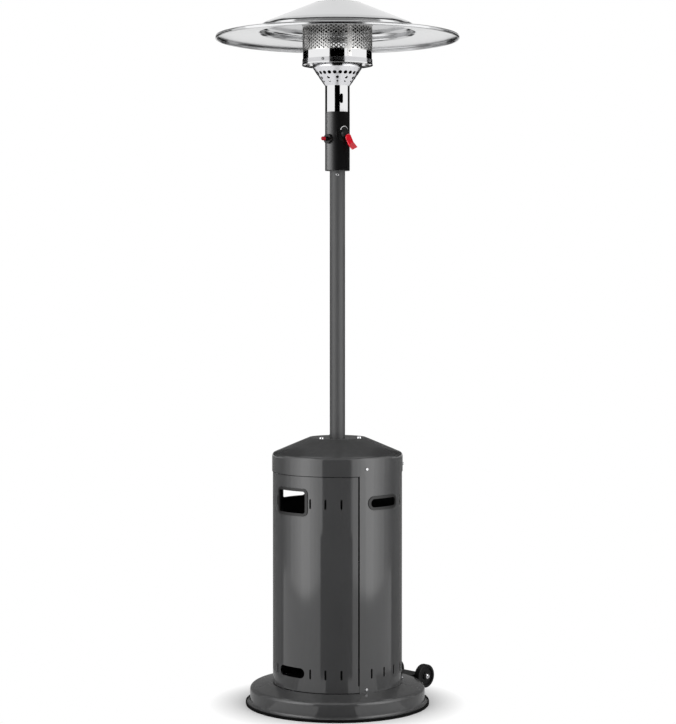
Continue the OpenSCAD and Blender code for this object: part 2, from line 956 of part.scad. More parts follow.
module hinge_pin_lower() {
    low = base_h - base_t;
    top = door_z + hinge_plate + pin_end_lower;
    color(zinc)
        around(hinge_az)
            translate([hinge_r, 0, 0]) {
                translate([0, 0, low - hinge_plate])
                    cylinder(d = pin_head_d, h = hinge_plate);
                translate([0, 0, low]) cylinder(d = hinge_pin_d, h = top - low);
                translate([0, 0, base_h])
                    cylinder(d = pin_head_d, h = door_lift - air);
            }
}

module catch_magnet() {
    color(plastic_black)
        around(upright_front, catch_z - catch_h / 2) {
            translate([catch_face, -upright_w / 2, 0])
                cube([upright_in - catch_face, upright_w, catch_h]);
            translate([catch_face - catch_t, -catch_reach, 0])
                cube([catch_t, catch_reach + upright_w / 2, catch_h]);
        }
}

module catch_strike() {
    reach = asin(strike_w / shell_r);
    color(zinc)
        ring_part(
            shell_in - fit, strike_in, catch_z - strike_half, catch_z + strike_half,
            door_edge - strike_gap - reach, door_edge - strike_gap
        );
}

module housing_cap() {
    middle = [cap_r - cap_round, cap_z + cap_band_h];
    rim = [cap_top_r, cap_top];
    path = concat(
        [[pole_r + 2 * fit, cap_top], rim],
        arc(middle, cap_round, 90 - lean(rim, middle, cap_round), 0),
        [[cap_r, cap_z]]
    );
    color(coat_grey)
        difference() {
            rotate_extrude() polygon(sheet(path, cap_t));
            for (az = bolt_az)
                around(az, flange_top - over)
                    translate([flange_pcd / 2, 0, 0])
                        cylinder(r = bolt_r + fit, h = cap_t + 2 * over);
            at_uprights()
                translate([0, 0, top_screw_z])
                    bar(screw_r + fit, cap_in - over, cap_r + over);
        }
}

module pole_flange() {
    color(zinc)
        difference() {
            union() {
                translate([0, 0, flange_z])
                    cylinder(r = flange_pcd / 2 + flange_rim, h = flange_t);
                translate([0, 0, socket_z]) cylinder(r = pole_r + socket_t, h = socket_deep + over);
            }
            translate([0, 0, socket_z + hinge_plate])
                cylinder(r = pole_r + fit, h = socket_deep + flange_t);
            translate([0, 0, socket_z - over])
                cylinder(r = pipe_r + 2 * fit, h = hinge_plate + 2 * over);
            for (az = bolt_az)
                around(az, flange_z - over)
                    translate([flange_pcd / 2, 0, 0])
                        cylinder(r = bolt_r + fit, h = flange_t + 2 * over);
        }
}

module flange_bolts() {
    grip = cap_t + flange_t + bolt_nut_h + screw_end;
    color(bright_steel)
        for (az = bolt_az)
            around(az, cap_top)
                translate([flange_pcd / 2, 0, 0]) {
                    cylinder(r = bolt_head_r, h = bolt_head_h);
                    translate([0, 0, -grip]) cylinder(r = bolt_r, h = grip);
                }
}

module flange_nuts() {
    color(zinc)
        for (az = bolt_az)
            around(az, flange_z - bolt_nut_h)
                translate([flange_pcd / 2, 0, 0])
                    difference() {
                        cylinder(r = bolt_nut_r, h = bolt_nut_h, $fn = 6);
                        translate([0, 0, -over])
                            cylinder(r = bolt_r + fit, h = bolt_d + 2 * over);
                    }
}

module pole() {
    color(coat_grey)
        difference() {
            ring(pole_r, pole_in, socket_z + hinge_plate, head_z);
            for (az = pole_screw_az)
                around(az, head_z - pole_screw_down)
                    bar(screw_r + fit, pole_in - over, pole_r + over);
        }
}

module pole_screws() {
    color(bright_steel)
        for (az = pole_screw_az)
            around(az, head_z - pole_screw_down)
                difference() {
                    radial_screw(
                        pole_r + fit, pole_t + spigot_t, head = screw_head_r * 1.2
                    );
                    translate([pole_r + fit + screw_head_h * 0.6, -screw_d, -drive_w / 2])
                        cube([screw_d, 2 * screw_d, drive_w]);
                }
}

module gas_supply_pipe() {
    color(copper)
        ring(pipe_r, pipe_r - pipe_t, socket_z - inlet_pipe, valve_z - valve_r);
}

module gas_inlet_nipple() {
    color(brass)
        translate([0, 0, socket_z - inlet_hex_h])
            difference() {
                union() {
                    cylinder(r = inlet_hex_r, h = inlet_hex_h, $fn = 6);
                    translate([0, 0, -inlet_thread_h]) cylinder(d = inlet_d, h = inlet_thread_h);
                }
                translate([0, 0, inlet_floor]) cylinder(r = pipe_r + fit, h = inlet_hex_h);
                translate([0, 0, -inlet_thread_h - over])
                    cylinder(r = pipe_r - pipe_t, h = inlet_thread_h + inlet_web + over);
            }
}

module head_socket() {
    color(plastic_black)
        difference() {
            union() {
                translate([0, 0, head_z]) cylinder(r = head_r, h = lip_t);
                translate([0, 0, head_z]) cylinder(r = head_in - fit, h = lip_t + collar_h);
                translate([0, 0, head_z - spigot_l])
                    cylinder(r = pole_in - fit, h = spigot_l + over);
            }
            translate([0, 0, head_z - spigot_l - over])
                cylinder(r = pole_in - spigot_t, h = spigot_l - spigot_end);
            translate([0, 0, head_z - spigot_l])
                cylinder(r = pipe_r + 2 * fit, h = spigot_l + 2 * collar_h + over);
            for (az = pole_screw_az)
                around(az, head_z - pole_screw_down)
                    bar(screw_r + fit, pole_in - spigot_t - over, pole_in + over);
        }
}

module control_housing() {
    color(coat_grey)
        difference() {
            ring(head_r, head_in, head_z + lip_t, head_top);
            around(0, igniter_z) bar(barrel_r + fit, head_in / 2, head_r + over);
            at_valve() bar(nose_r + fit, head_in / 2, head_r + over);
        }
}

// Place of the gas valve, with X along its spindle
module at_valve() {
    around(valve_az, valve_z) children();
}

module valve_body() {
    color(brass)
        at_valve()
            difference() {
                union() {
                    bar(valve_r, valve_back, valve_front);
                    bar(nose_r, valve_front - over, nose_end);
                    translate([0, 0, -boss_h]) cylinder(r = boss_r, h = 2 * boss_h);
                }
                bar(spindle_r + run_fit, boss_r + spindle_back, 2 * head_r);
                translate([0, 0, -boss_h - over])
                    cylinder(r = pipe_r + fit, h = boss_h - valve_r + over);
                translate([0, 0, valve_r]) cylinder(r = pipe_r + fit, h = boss_h);
                for (side = [-1, 1])
                    translate([lead_out, side * lead_side, valve_r - lead_in])
                        cylinder(r = pilot_lead_r + fit, h = lead_hole);
            }
}

module valve_spindle() {
    color(zinc)
        at_valve() bar(spindle_r, boss_r + spindle_back + knob_travel + air, hub_face - hub_skin);
}

module dial_plate() {
    color(plastic_black)
        at_valve()
            difference() {
                intersection() {
                    ring(head_r + fit + dial_t, head_r + fit, -head_r, head_r);
                    bar(dial_r, head_r / 2, 2 * head_r);
                }
                bar(nose_r + fit, head_r / 2, 2 * head_r);
            }
}

module knob_hub() {
    color(plastic_black)
        at_valve()
            difference() {
                translate([hub_back, 0, 0])
                    rotate([0, 90, 0])
                        cylinder(r1 = hub_d / 2, r2 = hub_d / 2 - hub_taper, h = hub_deep);
                bar(spindle_r + run_fit, hub_back - over, hub_face - hub_skin + air);
            }
}

// Lever with its own X down its length, turned to its place at rest
module knob_lever() {
    color(signal_red)
        at_valve()
            translate([hub_face, 0, 0])
                rotate([lever_rest, 0, 0])
                    intersection() {
                        translate([0, lever_w / 2, 0])
                            rotate([90, 0, 0])
                                linear_extrude(lever_w)
                                    polygon([
                                        [0, lever_head], [0, -lever_lip - lip_drop],
                                        [lever_lift, -lever_l], [lever_lift + lever_t, -lever_l],
                                        [lever_t, -lever_lip], [lever_t, lever_head]
                                    ]);
                        punch(-over, lever_lift + lever_t + over) {
                            circle(d = lever_w);
                            translate([-lever_w / 2, -lever_l]) square([lever_w, lever_l]);
                        }
                    }
}

module igniter_body() {
    color(plastic_black)
        around(0, igniter_z)
            difference() {
                union() {
                    bar(barrel_r + barrel_step, barrel_back, head_in - barrel_inset);
                    bar(barrel_r, barrel_back, barrel_end - fit);
                }
                bar(button_r + run_fit, barrel_back + barrel_floor, collar_face);
            }
}

module igniter_collar() {
    color(plastic_black)
        difference() {
            around(0, igniter_z)
                difference() {
                    bar(collar_d / 2, head_r * 0.8, collar_face);
                    bar(barrel_r + fit, head_r / 2, barrel_end);
                    bar(button_r + air, head_r / 2, collar_face + over);
                }
            translate([0, 0, igniter_z - collar_d]) cylinder(r = head_r + fit, h = 2 * collar_d);
        }
}

module igniter_button() {
    inner = barrel_back + barrel_floor + button_travel + air;
    color(signal_red)
        around(0, igniter_z) {
            bar(button_r, inner, button_tip - button_dome);
            translate([button_tip - button_dome, 0, 0])
                rotate([0, 90, 0]) cylinder(r1 = button_r, r2 = button_r - button_dome, h = button_dome);
        }
}

module tilt_switch() {
    face = sqrt(pow(head_in - fit, 2) - pow(switch_w / 2, 2)) - fit;
    color(ceramic_white)
        around(full_turn / 2, head_z + switch_up)
            translate([face - switch_t, -switch_w / 2, 0]) cube([switch_t, switch_w, switch_h]);
}

module main_gas_pipe() {
    color(copper) ring(pipe_r, pipe_r - pipe_t, valve_z + valve_r, jet_z + jet_pipe);
}

module gas_jet() {
    color(brass)
        translate([0, 0, jet_z])
            difference() {
                union() {
                    cylinder(r = jet_hex_r, h = venturi_z - jet_z, $fn = 6);
                    cylinder(r = jet_nose_r, h = venturi_z - jet_z + jet_nose_h);
                }
                translate([0, 0, -over]) cylinder(r = pipe_r + fit, h = jet_pipe + over);
                cylinder(r = jet_bore_r, h = jet_bore_h);
            }
}

module venturi_tube() {
    color(zinc)
        difference() {
            union() {
                translate([0, 0, venturi_z]) cylinder(r = venturi_r, h = deck_z - venturi_z + venturi_rise);
                translate([0, 0, deck_z]) cylinder(r = venturi_r + venturi_lip, h = venturi_t);
            }
            translate([0, 0, venturi_z + venturi_t])
                cylinder(r = venturi_r - venturi_t, h = 2 * deck_z);
            translate([0, 0, venturi_z - over])
                cylinder(r = jet_nose_r + fit, h = venturi_t + 2 * over);
            for (az = port_az)
                around(az, venturi_z + port_up)
                    punch(venturi_r / 2, venturi_r + over) upright_pill(port_w, port_h);
        }
}

module burner_tube() {
    sleeve_r = head_in - fit;
    color(bright_steel)
        difference() {
            rotate_extrude()
                polygon([
                    [tube_r, head_top], [tube_r, tube_top], [tube_in, tube_top],
                    [tube_in, head_top + 2 * sleeve_step], [sleeve_r - head_t, head_top + sleeve_step],
                    [sleeve_r - head_t, head_top - sleeve_l], [sleeve_r, head_top - sleeve_l],
                    [sleeve_r, head_top]
                ]);
            around(tube_slot_az, head_top + tube_h / 2)
                punch(tube_in / 2, tube_r + over) upright_pill(tube_slot_w, tube_slot_h);
        }
}

// Holes square to the cone's face, in one row of the given share of its height
module cone_row(share, count, d) {
    r = tube_r + (cone_r - tube_r) * share;
    for (i = [0:count - 1])
        around((i + 0.5) * full_turn / count, tube_top + cone_h * share)
            translate([r, 0, 0])
                rotate([0, full_turn / 2 - cone_slope, 0]) cylinder(d = d, h = cone_drill, center = true);
}

module air_cone() {
    wall = head_t;
    spigot_r = tube_in - fit;
    color(bright_steel)
        difference() {
            rotate_extrude()
                polygon([
                    [spigot_r, tube_top - cone_sleeve], [spigot_r, tube_top], [tube_r, tube_top],
                    [cone_r, cone_top], [cone_r, pan_z], [cone_r - wall, pan_z],
                    [cone_r - wall, cone_top + wall / 2], [spigot_r - wall, tube_top + wall],
                    [spigot_r - wall, tube_top - cone_sleeve]
                ]);
            cone_row(cone_shares[0], cone_holes, cone_hole_d[0]);
            cone_row(cone_shares[1], cone_holes / 2, cone_hole_d[1]);
            cone_row(cone_shares[2], cone_holes / 2, cone_hole_d[2]);
            for (az = slot_az)
                around(az, cone_top + cone_collar / 2)
                    punch(cone_r / 2, cone_r + over) pill(collar_slot_w, collar_slot_h);
        }
}

module burner_pan() {
    color(bright_steel)
        difference() {
            union() {
                ring(pan_r, venturi_r + fit, pan_z, deck_z);
                ring(pan_r, screen_r + fit, pan_z, pan_z + pan_h);
            }
            for (i = [0:pan_holes - 1])
                around((i + 0.5) * full_turn / pan_holes, pan_z - over)
                    translate([hole_ring, 0, 0]) cylinder(d = pan_hole_d, h = pan_t + 2 * over);
            for (side = [-1, 1])
                translate([pilot_out, side * pilot_side, pan_z - over])
                    cylinder(r = pilot_lead_r + fit, h = pan_t + 2 * over);
            for (az = pan_screw_az)
                around(az, pan_screw_z) bar(screw_r + fit, screen_r - over, pan_r + over);
        }
}

module pan_screws() {
    color(bright_steel)
        for (az = pan_screw_az)
            around(az, pan_screw_z)
                radial_screw(pan_r + fit, pan_r - screen_r + pan_screw_l);
}

module burner_head() {
    color(zinc)
        translate([0, 0, deck_z])
            difference() {
                cylinder(r = cup_r, h = cup_h);
                translate([0, 0, -over]) cylinder(r = cup_r - cup_t, h = cup_h - cup_t + over);
                for (i = [0:cup_ports - 1])
                    around(i * full_turn / cup_ports, cup_port_up)
                        bar(cup_port_r, cup_r - 2 * cup_t, cup_r + over);
            }
}

// Thin line from the gas valve up through the burner tube to a tip above the pan's floor
module lead(side, r, tip) {
    start = with_valve([lead_out, side * lead_side]);
    low = [start[0], start[1], valve_z + valve_r - lead_in];
    turn = [start[0], start[1], lead_turn];
    foot = [pilot_out, side * pilot_side, pan_z - lead_foot];
    top = [pilot_out, side * pilot_side, tip];
    strut(low, turn, r);
    translate(turn) sphere(r = r * lead_bulge);
    strut(turn, foot, r);
    translate(foot) sphere(r = r * lead_bulge);
    strut(foot, top, r);
}

module pilot_burner() {
    color(brass) {
        lead(1, pilot_lead_r, deck_z + lead_up);
        translate([pilot_out, pilot_side, deck_z]) cylinder(r = pilot_r, h = pilot_h);
    }
}

module thermocouple() {
    color(copper) {
        lead(-1, couple_lead_r, deck_z + lead_up);
        translate([pilot_out, -pilot_side, deck_z]) cylinder(r = couple_r, h = couple_h);
    }
}

module spark_electrode() {
    color(ceramic_white)
        translate([pilot_out, 3 * pilot_side, deck_z]) {
            cylinder(r = spark_r, h = spark_h);
            cylinder(r = spark_pin_r, h = couple_h);
        }
}

module emitter_screen() {
    step = full_turn / screen_cols;
    color(bright_steel)
        difference() {
            ring(screen_r, screen_r - screen_t, deck_z, screen_top);
            for (row = [0:screen_rows - 1], col = [0:screen_cols - 1]) {
                turn = (col + (row % 2) / 2) * step;
                if (turn > seam_half && turn < full_turn - seam_half)
                    around(
                        seam_az + turn, deck_z + screen_plain + (row + 0.5) * screen_pitch
                    )
                        bar(screen_hole / 2, screen_r - 3 * screen_t, screen_r + screen_t);
            }
            for (az = pan_screw_az)
                around(az, pan_screw_z)
                    bar(screw_r + fit, screen_r - 3 * screen_t, screen_r + over);
        }
}

module emitter_cap() {
    rim_r = screen_r - screen_t - fit;
    color(bright_steel)
        difference() {
            union() {
                translate([0, 0, screen_top]) cylinder(r = screen_r + emitter_lip, h = pan_t);
                ring(rim_r, rim_r - screen_t, screen_top - emitter_rim_h, screen_top + over);
            }
            for (az = spacer_az)
                around(az, screen_top - over)
                    translate([spacer_r, 0, 0])
                        cylinder(r = screw_r + fit, h = pan_t + 2 * over);
        }
}

module reflector_spacers() {
    low = screen_top + pan_t;
    top = crown_top - reflector_t;
    color(zinc)
        for (az = spacer_az)
            around(az)
                translate([spacer_r, 0, 0])
                    difference() {
                        translate([0, 0, low]) cylinder(d = spacer_d, h = top - low);
                        translate([0, 0, low - over])
                            cylinder(r = screw_r + fit, h = thread_deep + over);
                        translate([0, 0, top - thread_deep])
                            cylinder(r = screw_r + fit, h = thread_deep + over);
                    }
}

module reflector_screws() {
    color(bright_steel)
        for (az = spacer_az)
            around(az)
                translate([spacer_r, 0, 0]) {
                    translate([0, 0, crown_top]) cylinder(r = screw_head_r, h = screw_head_h);
                    translate([0, 0, crown_top - screw_reach]) cylinder(r = screw_r, h = screw_reach);
                    translate([0, 0, screen_top - screw_head_h])
                        cylinder(r = screw_head_r, h = screw_head_h);
                    translate([0, 0, screen_top]) cylinder(r = screw_r, h = screw_reach);
                }
}

module reflector() {
    edge_r = reflector_d / 2;
    corner = reflector_corner;
    fillet = reflector_fillet;
    rim = [crown_top_r, crown_top];
    shoulder = [crown_r - crown_round, crown_z];
    hem = [edge_r - hem_r, brim_z - skirt_h + hem_r];
    path = concat(
        [[0, crown_top], rim],
        arc(shoulder, crown_round, 90 - lean(rim, shoulder, crown_round), 0),
        arc([crown_r + fillet, crown_foot + fillet], fillet, 180, 270),
        arc([edge_r - corner, brim_z - corner], corner, 90, 0),
        arc(hem, hem_r, 0, hem_turn)
    );
    color(bright_steel)
        difference() {
            rotate_extrude() polygon(sheet(path, reflector_t));
            for (az = spacer_az)
                around(az, crown_top - reflector_t - over)
                    translate([spacer_r, 0, 0])
                        cylinder(r = screw_r + fit, h = reflector_t + 2 * over);
        }
}

base_pan();
base_trim();
wheel_bracket();
bracket_screws();
wheel_axle();
wheel_left();
wheel_right();
axle_caps();
housing_shell();
upright_front_left();
upright_front_right();
upright_rear_left();
upright_rear_right();
foot_screws();
shell_screws();
shell_nuts();
hand_hole_trim_left();
hand_hole_trim_right();
door();
window_trim();
hinge_bracket();
hinge_pin_upper();
hinge_pin_lower();
catch_magnet();
catch_strike();
housing_cap();
pole_flange();
flange_bolts();
flange_nuts();
pole();
pole_screws();
gas_supply_pipe();
gas_inlet_nipple();
head_socket();
control_housing();
valve_body();
valve_spindle();
dial_plate();
knob_hub();
knob_lever();
igniter_body();
igniter_collar();
igniter_button();
tilt_switch();
main_gas_pipe();
gas_jet();
venturi_tube();
burner_tube();
air_cone();
burner_pan();
pan_screws();
burner_head();
pilot_burner();
spark_electrode();
thermocouple();
emitter_screen();
emitter_cap();
reflector_spacers();
reflector_screws();
reflector();
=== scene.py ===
import logging
import math
from collections.abc import Iterable
from dataclasses import dataclass, field, replace
from enum import Enum
from typing import ClassVar

import bmesh
import bpy
from mathutils import Matrix, Vector


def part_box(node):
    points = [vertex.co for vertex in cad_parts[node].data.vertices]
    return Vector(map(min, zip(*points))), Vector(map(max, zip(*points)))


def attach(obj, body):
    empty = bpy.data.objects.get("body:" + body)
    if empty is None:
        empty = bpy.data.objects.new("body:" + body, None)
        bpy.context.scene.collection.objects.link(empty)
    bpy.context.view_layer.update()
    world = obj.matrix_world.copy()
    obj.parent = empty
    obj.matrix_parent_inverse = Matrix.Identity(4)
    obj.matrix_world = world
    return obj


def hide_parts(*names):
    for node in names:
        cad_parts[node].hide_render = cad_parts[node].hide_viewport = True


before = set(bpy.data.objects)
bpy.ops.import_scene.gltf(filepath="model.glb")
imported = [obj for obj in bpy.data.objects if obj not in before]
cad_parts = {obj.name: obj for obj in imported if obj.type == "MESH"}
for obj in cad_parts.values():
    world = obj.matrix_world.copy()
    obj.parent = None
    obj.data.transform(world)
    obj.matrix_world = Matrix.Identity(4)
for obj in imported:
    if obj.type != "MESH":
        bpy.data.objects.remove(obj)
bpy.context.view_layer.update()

LOG = logging.getLogger("patio_heater")
NODES: dict[str, bpy.types.Object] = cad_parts
SIDES = {"left": -1.0, "right": 1.0}
FLOAT = "NodeSocketFloat"
WHITE = (1.0, 1.0, 1.0, 1.0)
TINY = 1e-6
Point = tuple[float, float, float]
Flat = tuple[float, float]
Points = list[bmesh.types.BMVert]


class Body(str, Enum):
    """Rigid bodies that the scene's own pieces ride on."""

    HEATER = "heater"
    BUTTON = "igniter_button"
    KNOB = "gas_knob"


class Grain(Enum):
    """Fine surface structures that a finish can have."""

    PEEL = "peel"
    MOULDED = "moulded"
    SPUN = "spun"
    PLATED = "plated"


class Reach(Enum):
    """Whether a lamp lights some objects alone or leaves them out."""

    ONLY = "INCLUDE"
    NOT = "EXCLUDE"


def grey(tone: float) -> Point:
    """Gives a neutral colour."""
    return (tone, tone, tone)


def polar(radius: float, azimuth: float, height: float) -> Vector:
    """Gives a point by its azimuth from the front, where 90 degrees is +X.

    Args:
        radius: Distance from the pole's axis.
        azimuth: Angle from the front in degrees.
        height: Height above the floor.

    Returns:
        The point in the model's frame.
    """
    turn = math.radians(azimuth)
    return Vector((radius * math.sin(turn), -radius * math.cos(turn), height))


def outward(radius: float, azimuth: float, height: float) -> Matrix:
    """Gives the place of a piece whose own Z points outwards and whose Y points up.

    Args:
        radius: Distance of the piece's origin from the pole's axis.
        azimuth: Angle from the front in degrees.
        height: Height above the floor.

    Returns:
        The piece's matrix.
    """
    away = polar(1.0, azimuth, 0.0)
    up = Vector((0.0, 0.0, 1.0))
    side = up.cross(away)
    turn = Matrix((side, up, away)).transposed().to_4x4()
    return Matrix.Translation(polar(radius, azimuth, height)) @ turn


def arc(middle: Flat, radius: float, start: float, end: float, steps: int = 8) -> list[Flat]:
    """Gives points along an arc, its angles in degrees."""
    turns = [math.radians(start + (end - start) * i / steps) for i in range(steps + 1)]
    return [(middle[0] + radius * math.cos(t), middle[1] + radius * math.sin(t)) for t in turns]


def lean(point: Flat, middle: Flat, radius: float) -> float:
    """Gives the downward angle of the line from a point that touches a circle's top.

    Args:
        point: Where the line starts.
        middle: The circle's middle.
        radius: The circle's radius.

    Returns:
        The angle in degrees.
    """
    dx, dz = middle[0] - point[0], point[1] - middle[1]
    return math.degrees(math.atan2(dz, dx) - math.asin(radius / math.hypot(dx, dz)))


def sheet(path: list[Flat], thick: float) -> list[Flat]:
    """Gives the outline of a sheet that lies to the right of a path, with mitred corners.

    Args:
        path: Points along one side of the sheet.
        thick: Thickness of the sheet.

    Returns:
        The path followed by its other side, back to the start.
    """
    points = [Vector(p) for p in path]
    sides = []
    for a, b in zip(points, points[1:]):
        way = (b - a).normalized()
        sides.append(Vector((way.y, -way.x)))
    back = []
    for i, point in enumerate(points):
        before = sides[max(i - 1, 0)]
        after = sides[min(i, len(sides) - 1)]
        moved = point + thick * (before + after) / (1.0 + before.dot(after))
        back.append((moved.x, moved.y))
    return list(path) + list(reversed(back))


def around(radius: float, span: Flat, height: float, steps: int) -> list[Vector]:
    """Gives points round the pole between two azimuths."""
    return [polar(radius, span[0] + (span[1] - span[0]) * i / steps, height) for i in range(steps + 1)]


def between(first: Flat, last: Flat, parts: int) -> list[Flat]:
    """Gives the points that part a line evenly, without its ends."""
    dx, dy = last[0] - first[0], last[1] - first[1]
    return [(first[0] + dx * k / parts, first[1] + dy * k / parts) for k in range(1, parts)]


def box_ring(inner: float, outer: float, low: float, high: float) -> list[Flat]:
    """Gives the closed outline of a ring with a rectangular section."""
    return [(inner, low), (outer, low), (outer, high), (inner, high), (inner, low)]


class Shape:
    """Collects faces in a bmesh and turns them into an object."""

    def __init__(self) -> None:
        """Starts an empty shape."""
        self.mesh = bmesh.new()

    def points(self, places: Iterable[Vector]) -> Points:
        """Adds points and gives them in order."""
        return [self.mesh.verts.new(place) for place in places]

    def ring(self, radius: float, height: float, steps: int, place: Matrix) -> Points:
        """Adds one turn of points about Z, or a single point on the axis.

        Args:
            radius: Radius of the turn.
            height: Its height.
            steps: Points in a full turn.
            place: Where the turn goes.

        Returns:
            The points.
        """
        if radius < TINY:
            return self.points([place @ Vector((0.0, 0.0, height))])
        turns = [2 * math.pi * i / steps for i in range(steps)]
        flat = [(radius * math.cos(t), radius * math.sin(t)) for t in turns]
        return self.points(place @ Vector((x, y, height)) for x, y in flat)

    def band(self, low: Points, high: Points) -> None:
        """Joins two rings of points, one of which may be a single point.

        Args:
            low: The first ring.
            high: The second ring.
        """
        steps = max(len(low), len(high))
        for i in range(steps):
            j = (i + 1) % steps
            corners = (low[i % len(low)], low[j % len(low)], high[j % len(high)], high[i % len(high)])
            self.mesh.faces.new(list(dict.fromkeys(corners)))

    def lathe(self, path: list[Flat], steps: int, place: Matrix | None = None) -> "Shape":
        """Turns a path of radius and height about Z.

        Args:
            path: Points as radius and height, in order along the surface.
            steps: Facets in a full turn.
            place: Where the turned surface goes, if not at the origin.

        Returns:
            This shape.
        """
        place = place or Matrix.Identity(4)
        rings = [self.ring(radius, height, steps, place) for radius, height in path]
        for low, high in zip(rings, rings[1:]):
            self.band(low, high)
        return self

    def strip(self, first: list[Vector], second: list[Vector]) -> "Shape":
        """Fills the space between two lines of points.

        Args:
            first: Points of one line.
            second: Points of the other line, as many.

        Returns:
            This shape.
        """
        near, far = self.points(first), self.points(second)
        for corners in zip(near, near[1:], far[1:], far):
            self.mesh.faces.new(corners)
        return self

    def weld(self) -> "Shape":
        """Joins points that lie on one another."""
        bmesh.ops.remove_doubles(self.mesh, verts=self.mesh.verts, dist=TINY)
        return self

    def round_off(self, edges: list[bmesh.types.BMEdge], size: float, segments: int, clamp: bool) -> None:
        """Rounds edges by a size in some segments, held back where they would overlap if clamp is set."""
        bmesh.ops.bevel(
            self.mesh, geom=edges, offset=size, segments=segments, profile=0.5, affect="EDGES",
            clamp_overlap=clamp,
        )

    def object(self, name: str, sharp: float = 35.0) -> bpy.types.Object:
        """Makes the object, with smooth faces and sharp corners.

        Args:
            name: Name of the object.
            sharp: Angle in degrees above which an edge stays sharp.

        Returns:
            The linked object.
        """
        bmesh.ops.recalc_face_normals(self.mesh, faces=self.mesh.faces)
        for face in self.mesh.faces:
            face.smooth = True
        for edge in self.mesh.edges:
            edge.smooth = edge.is_manifold and edge.calc_face_angle(0.0) < math.radians(sharp)
        data = bpy.data.meshes.new(name)
        self.mesh.to_mesh(data)
        self.mesh.free()
        made = bpy.data.objects.new(name, data)
        bpy.context.scene.collection.objects.link(made)
        return made


class Graph:
    """Adds nodes to a node tree and joins them."""

    def __init__(self, tree: bpy.types.NodeTree) -> None:
        """Keeps the tree that the nodes go into."""
        self.tree = tree

    @classmethod
    def emptied(cls, owner: bpy.types.Material | bpy.types.World) -> "Graph":
        """Takes the first nodes out of a material or world.

        Args:
            owner: The material or world.

        Returns:
            Its graph.
        """
        owner.use_nodes = True
        owner.node_tree.nodes.clear()
        return cls(owner.node_tree)

    def add(self, kind: str, settings: dict | None = None, **inputs: object) -> bpy.types.Node:
        """Adds one node.

        Args:
            kind: The node's type name.
            settings: Properties of the node itself.
            inputs: Values or sockets by input name, with _ for a space, or by number as i0, i1.

        Returns:
            The node.
        """
        node = self.tree.nodes.new(kind)
        for key, value in (settings or {}).items():
            setattr(node, key, value)
        for key, value in inputs.items():
            number = key[1:]
            socket = node.inputs[int(number) if number.isdigit() else key.replace("_", " ")]
            if isinstance(value, bpy.types.NodeSocket):
                self.tree.links.new(value, socket)
            else:
                socket.default_value = value
        return node

    def group(self, tree: bpy.types.NodeTree, **inputs: object) -> bpy.types.NodeOutputs:
        """Adds a shared group and gives its outputs."""
        return self.add("ShaderNodeGroup", {"node_tree": tree}, **inputs).outputs

    def math(self, operation: str, a: object, b: object = 0.0) -> bpy.types.NodeSocket:
        """Adds a math node and gives its output."""
        return self.add("ShaderNodeMath", {"operation": operation}, i0=a, i1=b).outputs[0]

    def vector(self, operation: str, a: object, b: object = (0.0, 0.0, 0.0)) -> bpy.types.NodeSocket:
        """Adds a vector math node and gives its vector, or its value where that is the result."""
        node = self.add("ShaderNodeVectorMath", {"operation": operation}, i0=a, i1=b)
        return node.outputs["Value" if operation in ("LENGTH", "DOT_PRODUCT") else "Vector"]

    def mix(self, factor: object, a: object, b: object) -> bpy.types.NodeSocket:
        """Adds a colour mix and gives its output."""
        return self.add("ShaderNodeMix", {"data_type": "RGBA"}, i0=factor, i6=a, i7=b).outputs[2]

    def blend(self, a: object, b: object, share: float) -> bpy.types.NodeSocket:
        """Adds a share of one value to the rest of another and gives the sum."""
        return self.math("ADD", self.math("MULTIPLY", a, share), self.math("MULTIPLY", b, 1.0 - share))

    def span(self, value: object, given: Flat, low: object, high: object) -> bpy.types.NodeSocket:
        """Maps a value from a given range to another and gives the result."""
        node = self.add("ShaderNodeMapRange", None, i0=value, i1=given[0], i2=given[1], i3=low, i4=high)
        return node.outputs[0]

    def noise(self, vector: object, scale: object, detail: float) -> bpy.types.NodeSocket:
        """Adds a noise texture and gives its value."""
        return self.add("ShaderNodeTexNoise", None, Vector=vector, Scale=scale, Detail=detail).outputs[0]

    def seen(self) -> bpy.types.NodeSocket:
        """Tells what is seen from light that falls on things.

        Returns:
            1 on rays from the camera, off gloss and through glass, and 0 on the others.
        """
        path = self.add("ShaderNodeLightPath").outputs
        near = self.math("MAXIMUM", path["Is Camera Ray"], path["Is Glossy Ray"])
        return self.math("MAXIMUM", near, path["Is Transmission Ray"])


class Group(Graph):
    """A shader node group with named inputs and outputs, which knows its object's coordinates."""

    def __init__(self, name: str, inputs: dict[str, float], *outputs: str) -> None:
        """Makes the group with its sockets.

        Args:
            name: Name of the group.
            inputs: Default of each input by name.
            outputs: Names of the outputs.
        """
        super().__init__(bpy.data.node_groups.new(name, "ShaderNodeTree"))
        sockets = self.tree.interface
        for label, default in inputs.items():
            sockets.new_socket(name=label, in_out="INPUT", socket_type=FLOAT).default_value = default
        for label in outputs:
            sockets.new_socket(name=label, in_out="OUTPUT", socket_type=FLOAT)
        self.given = {s.name: s for s in self.tree.nodes.new("NodeGroupInput").outputs}
        self.leave = self.tree.nodes.new("NodeGroupOutput")
        self.coordinates = self.add("ShaderNodeTexCoord")
        self.place = self.coordinates.outputs["Object"]

    def give(self, **results: bpy.types.NodeSocket) -> bpy.types.NodeTree:
        """Joins results to the outputs of the same names.

        Args:
            results: The socket of each output.

        Returns:
            The tree of the group.
        """
        for label, socket in results.items():
            self.tree.links.new(socket, self.leave.inputs[label])
        return self.tree


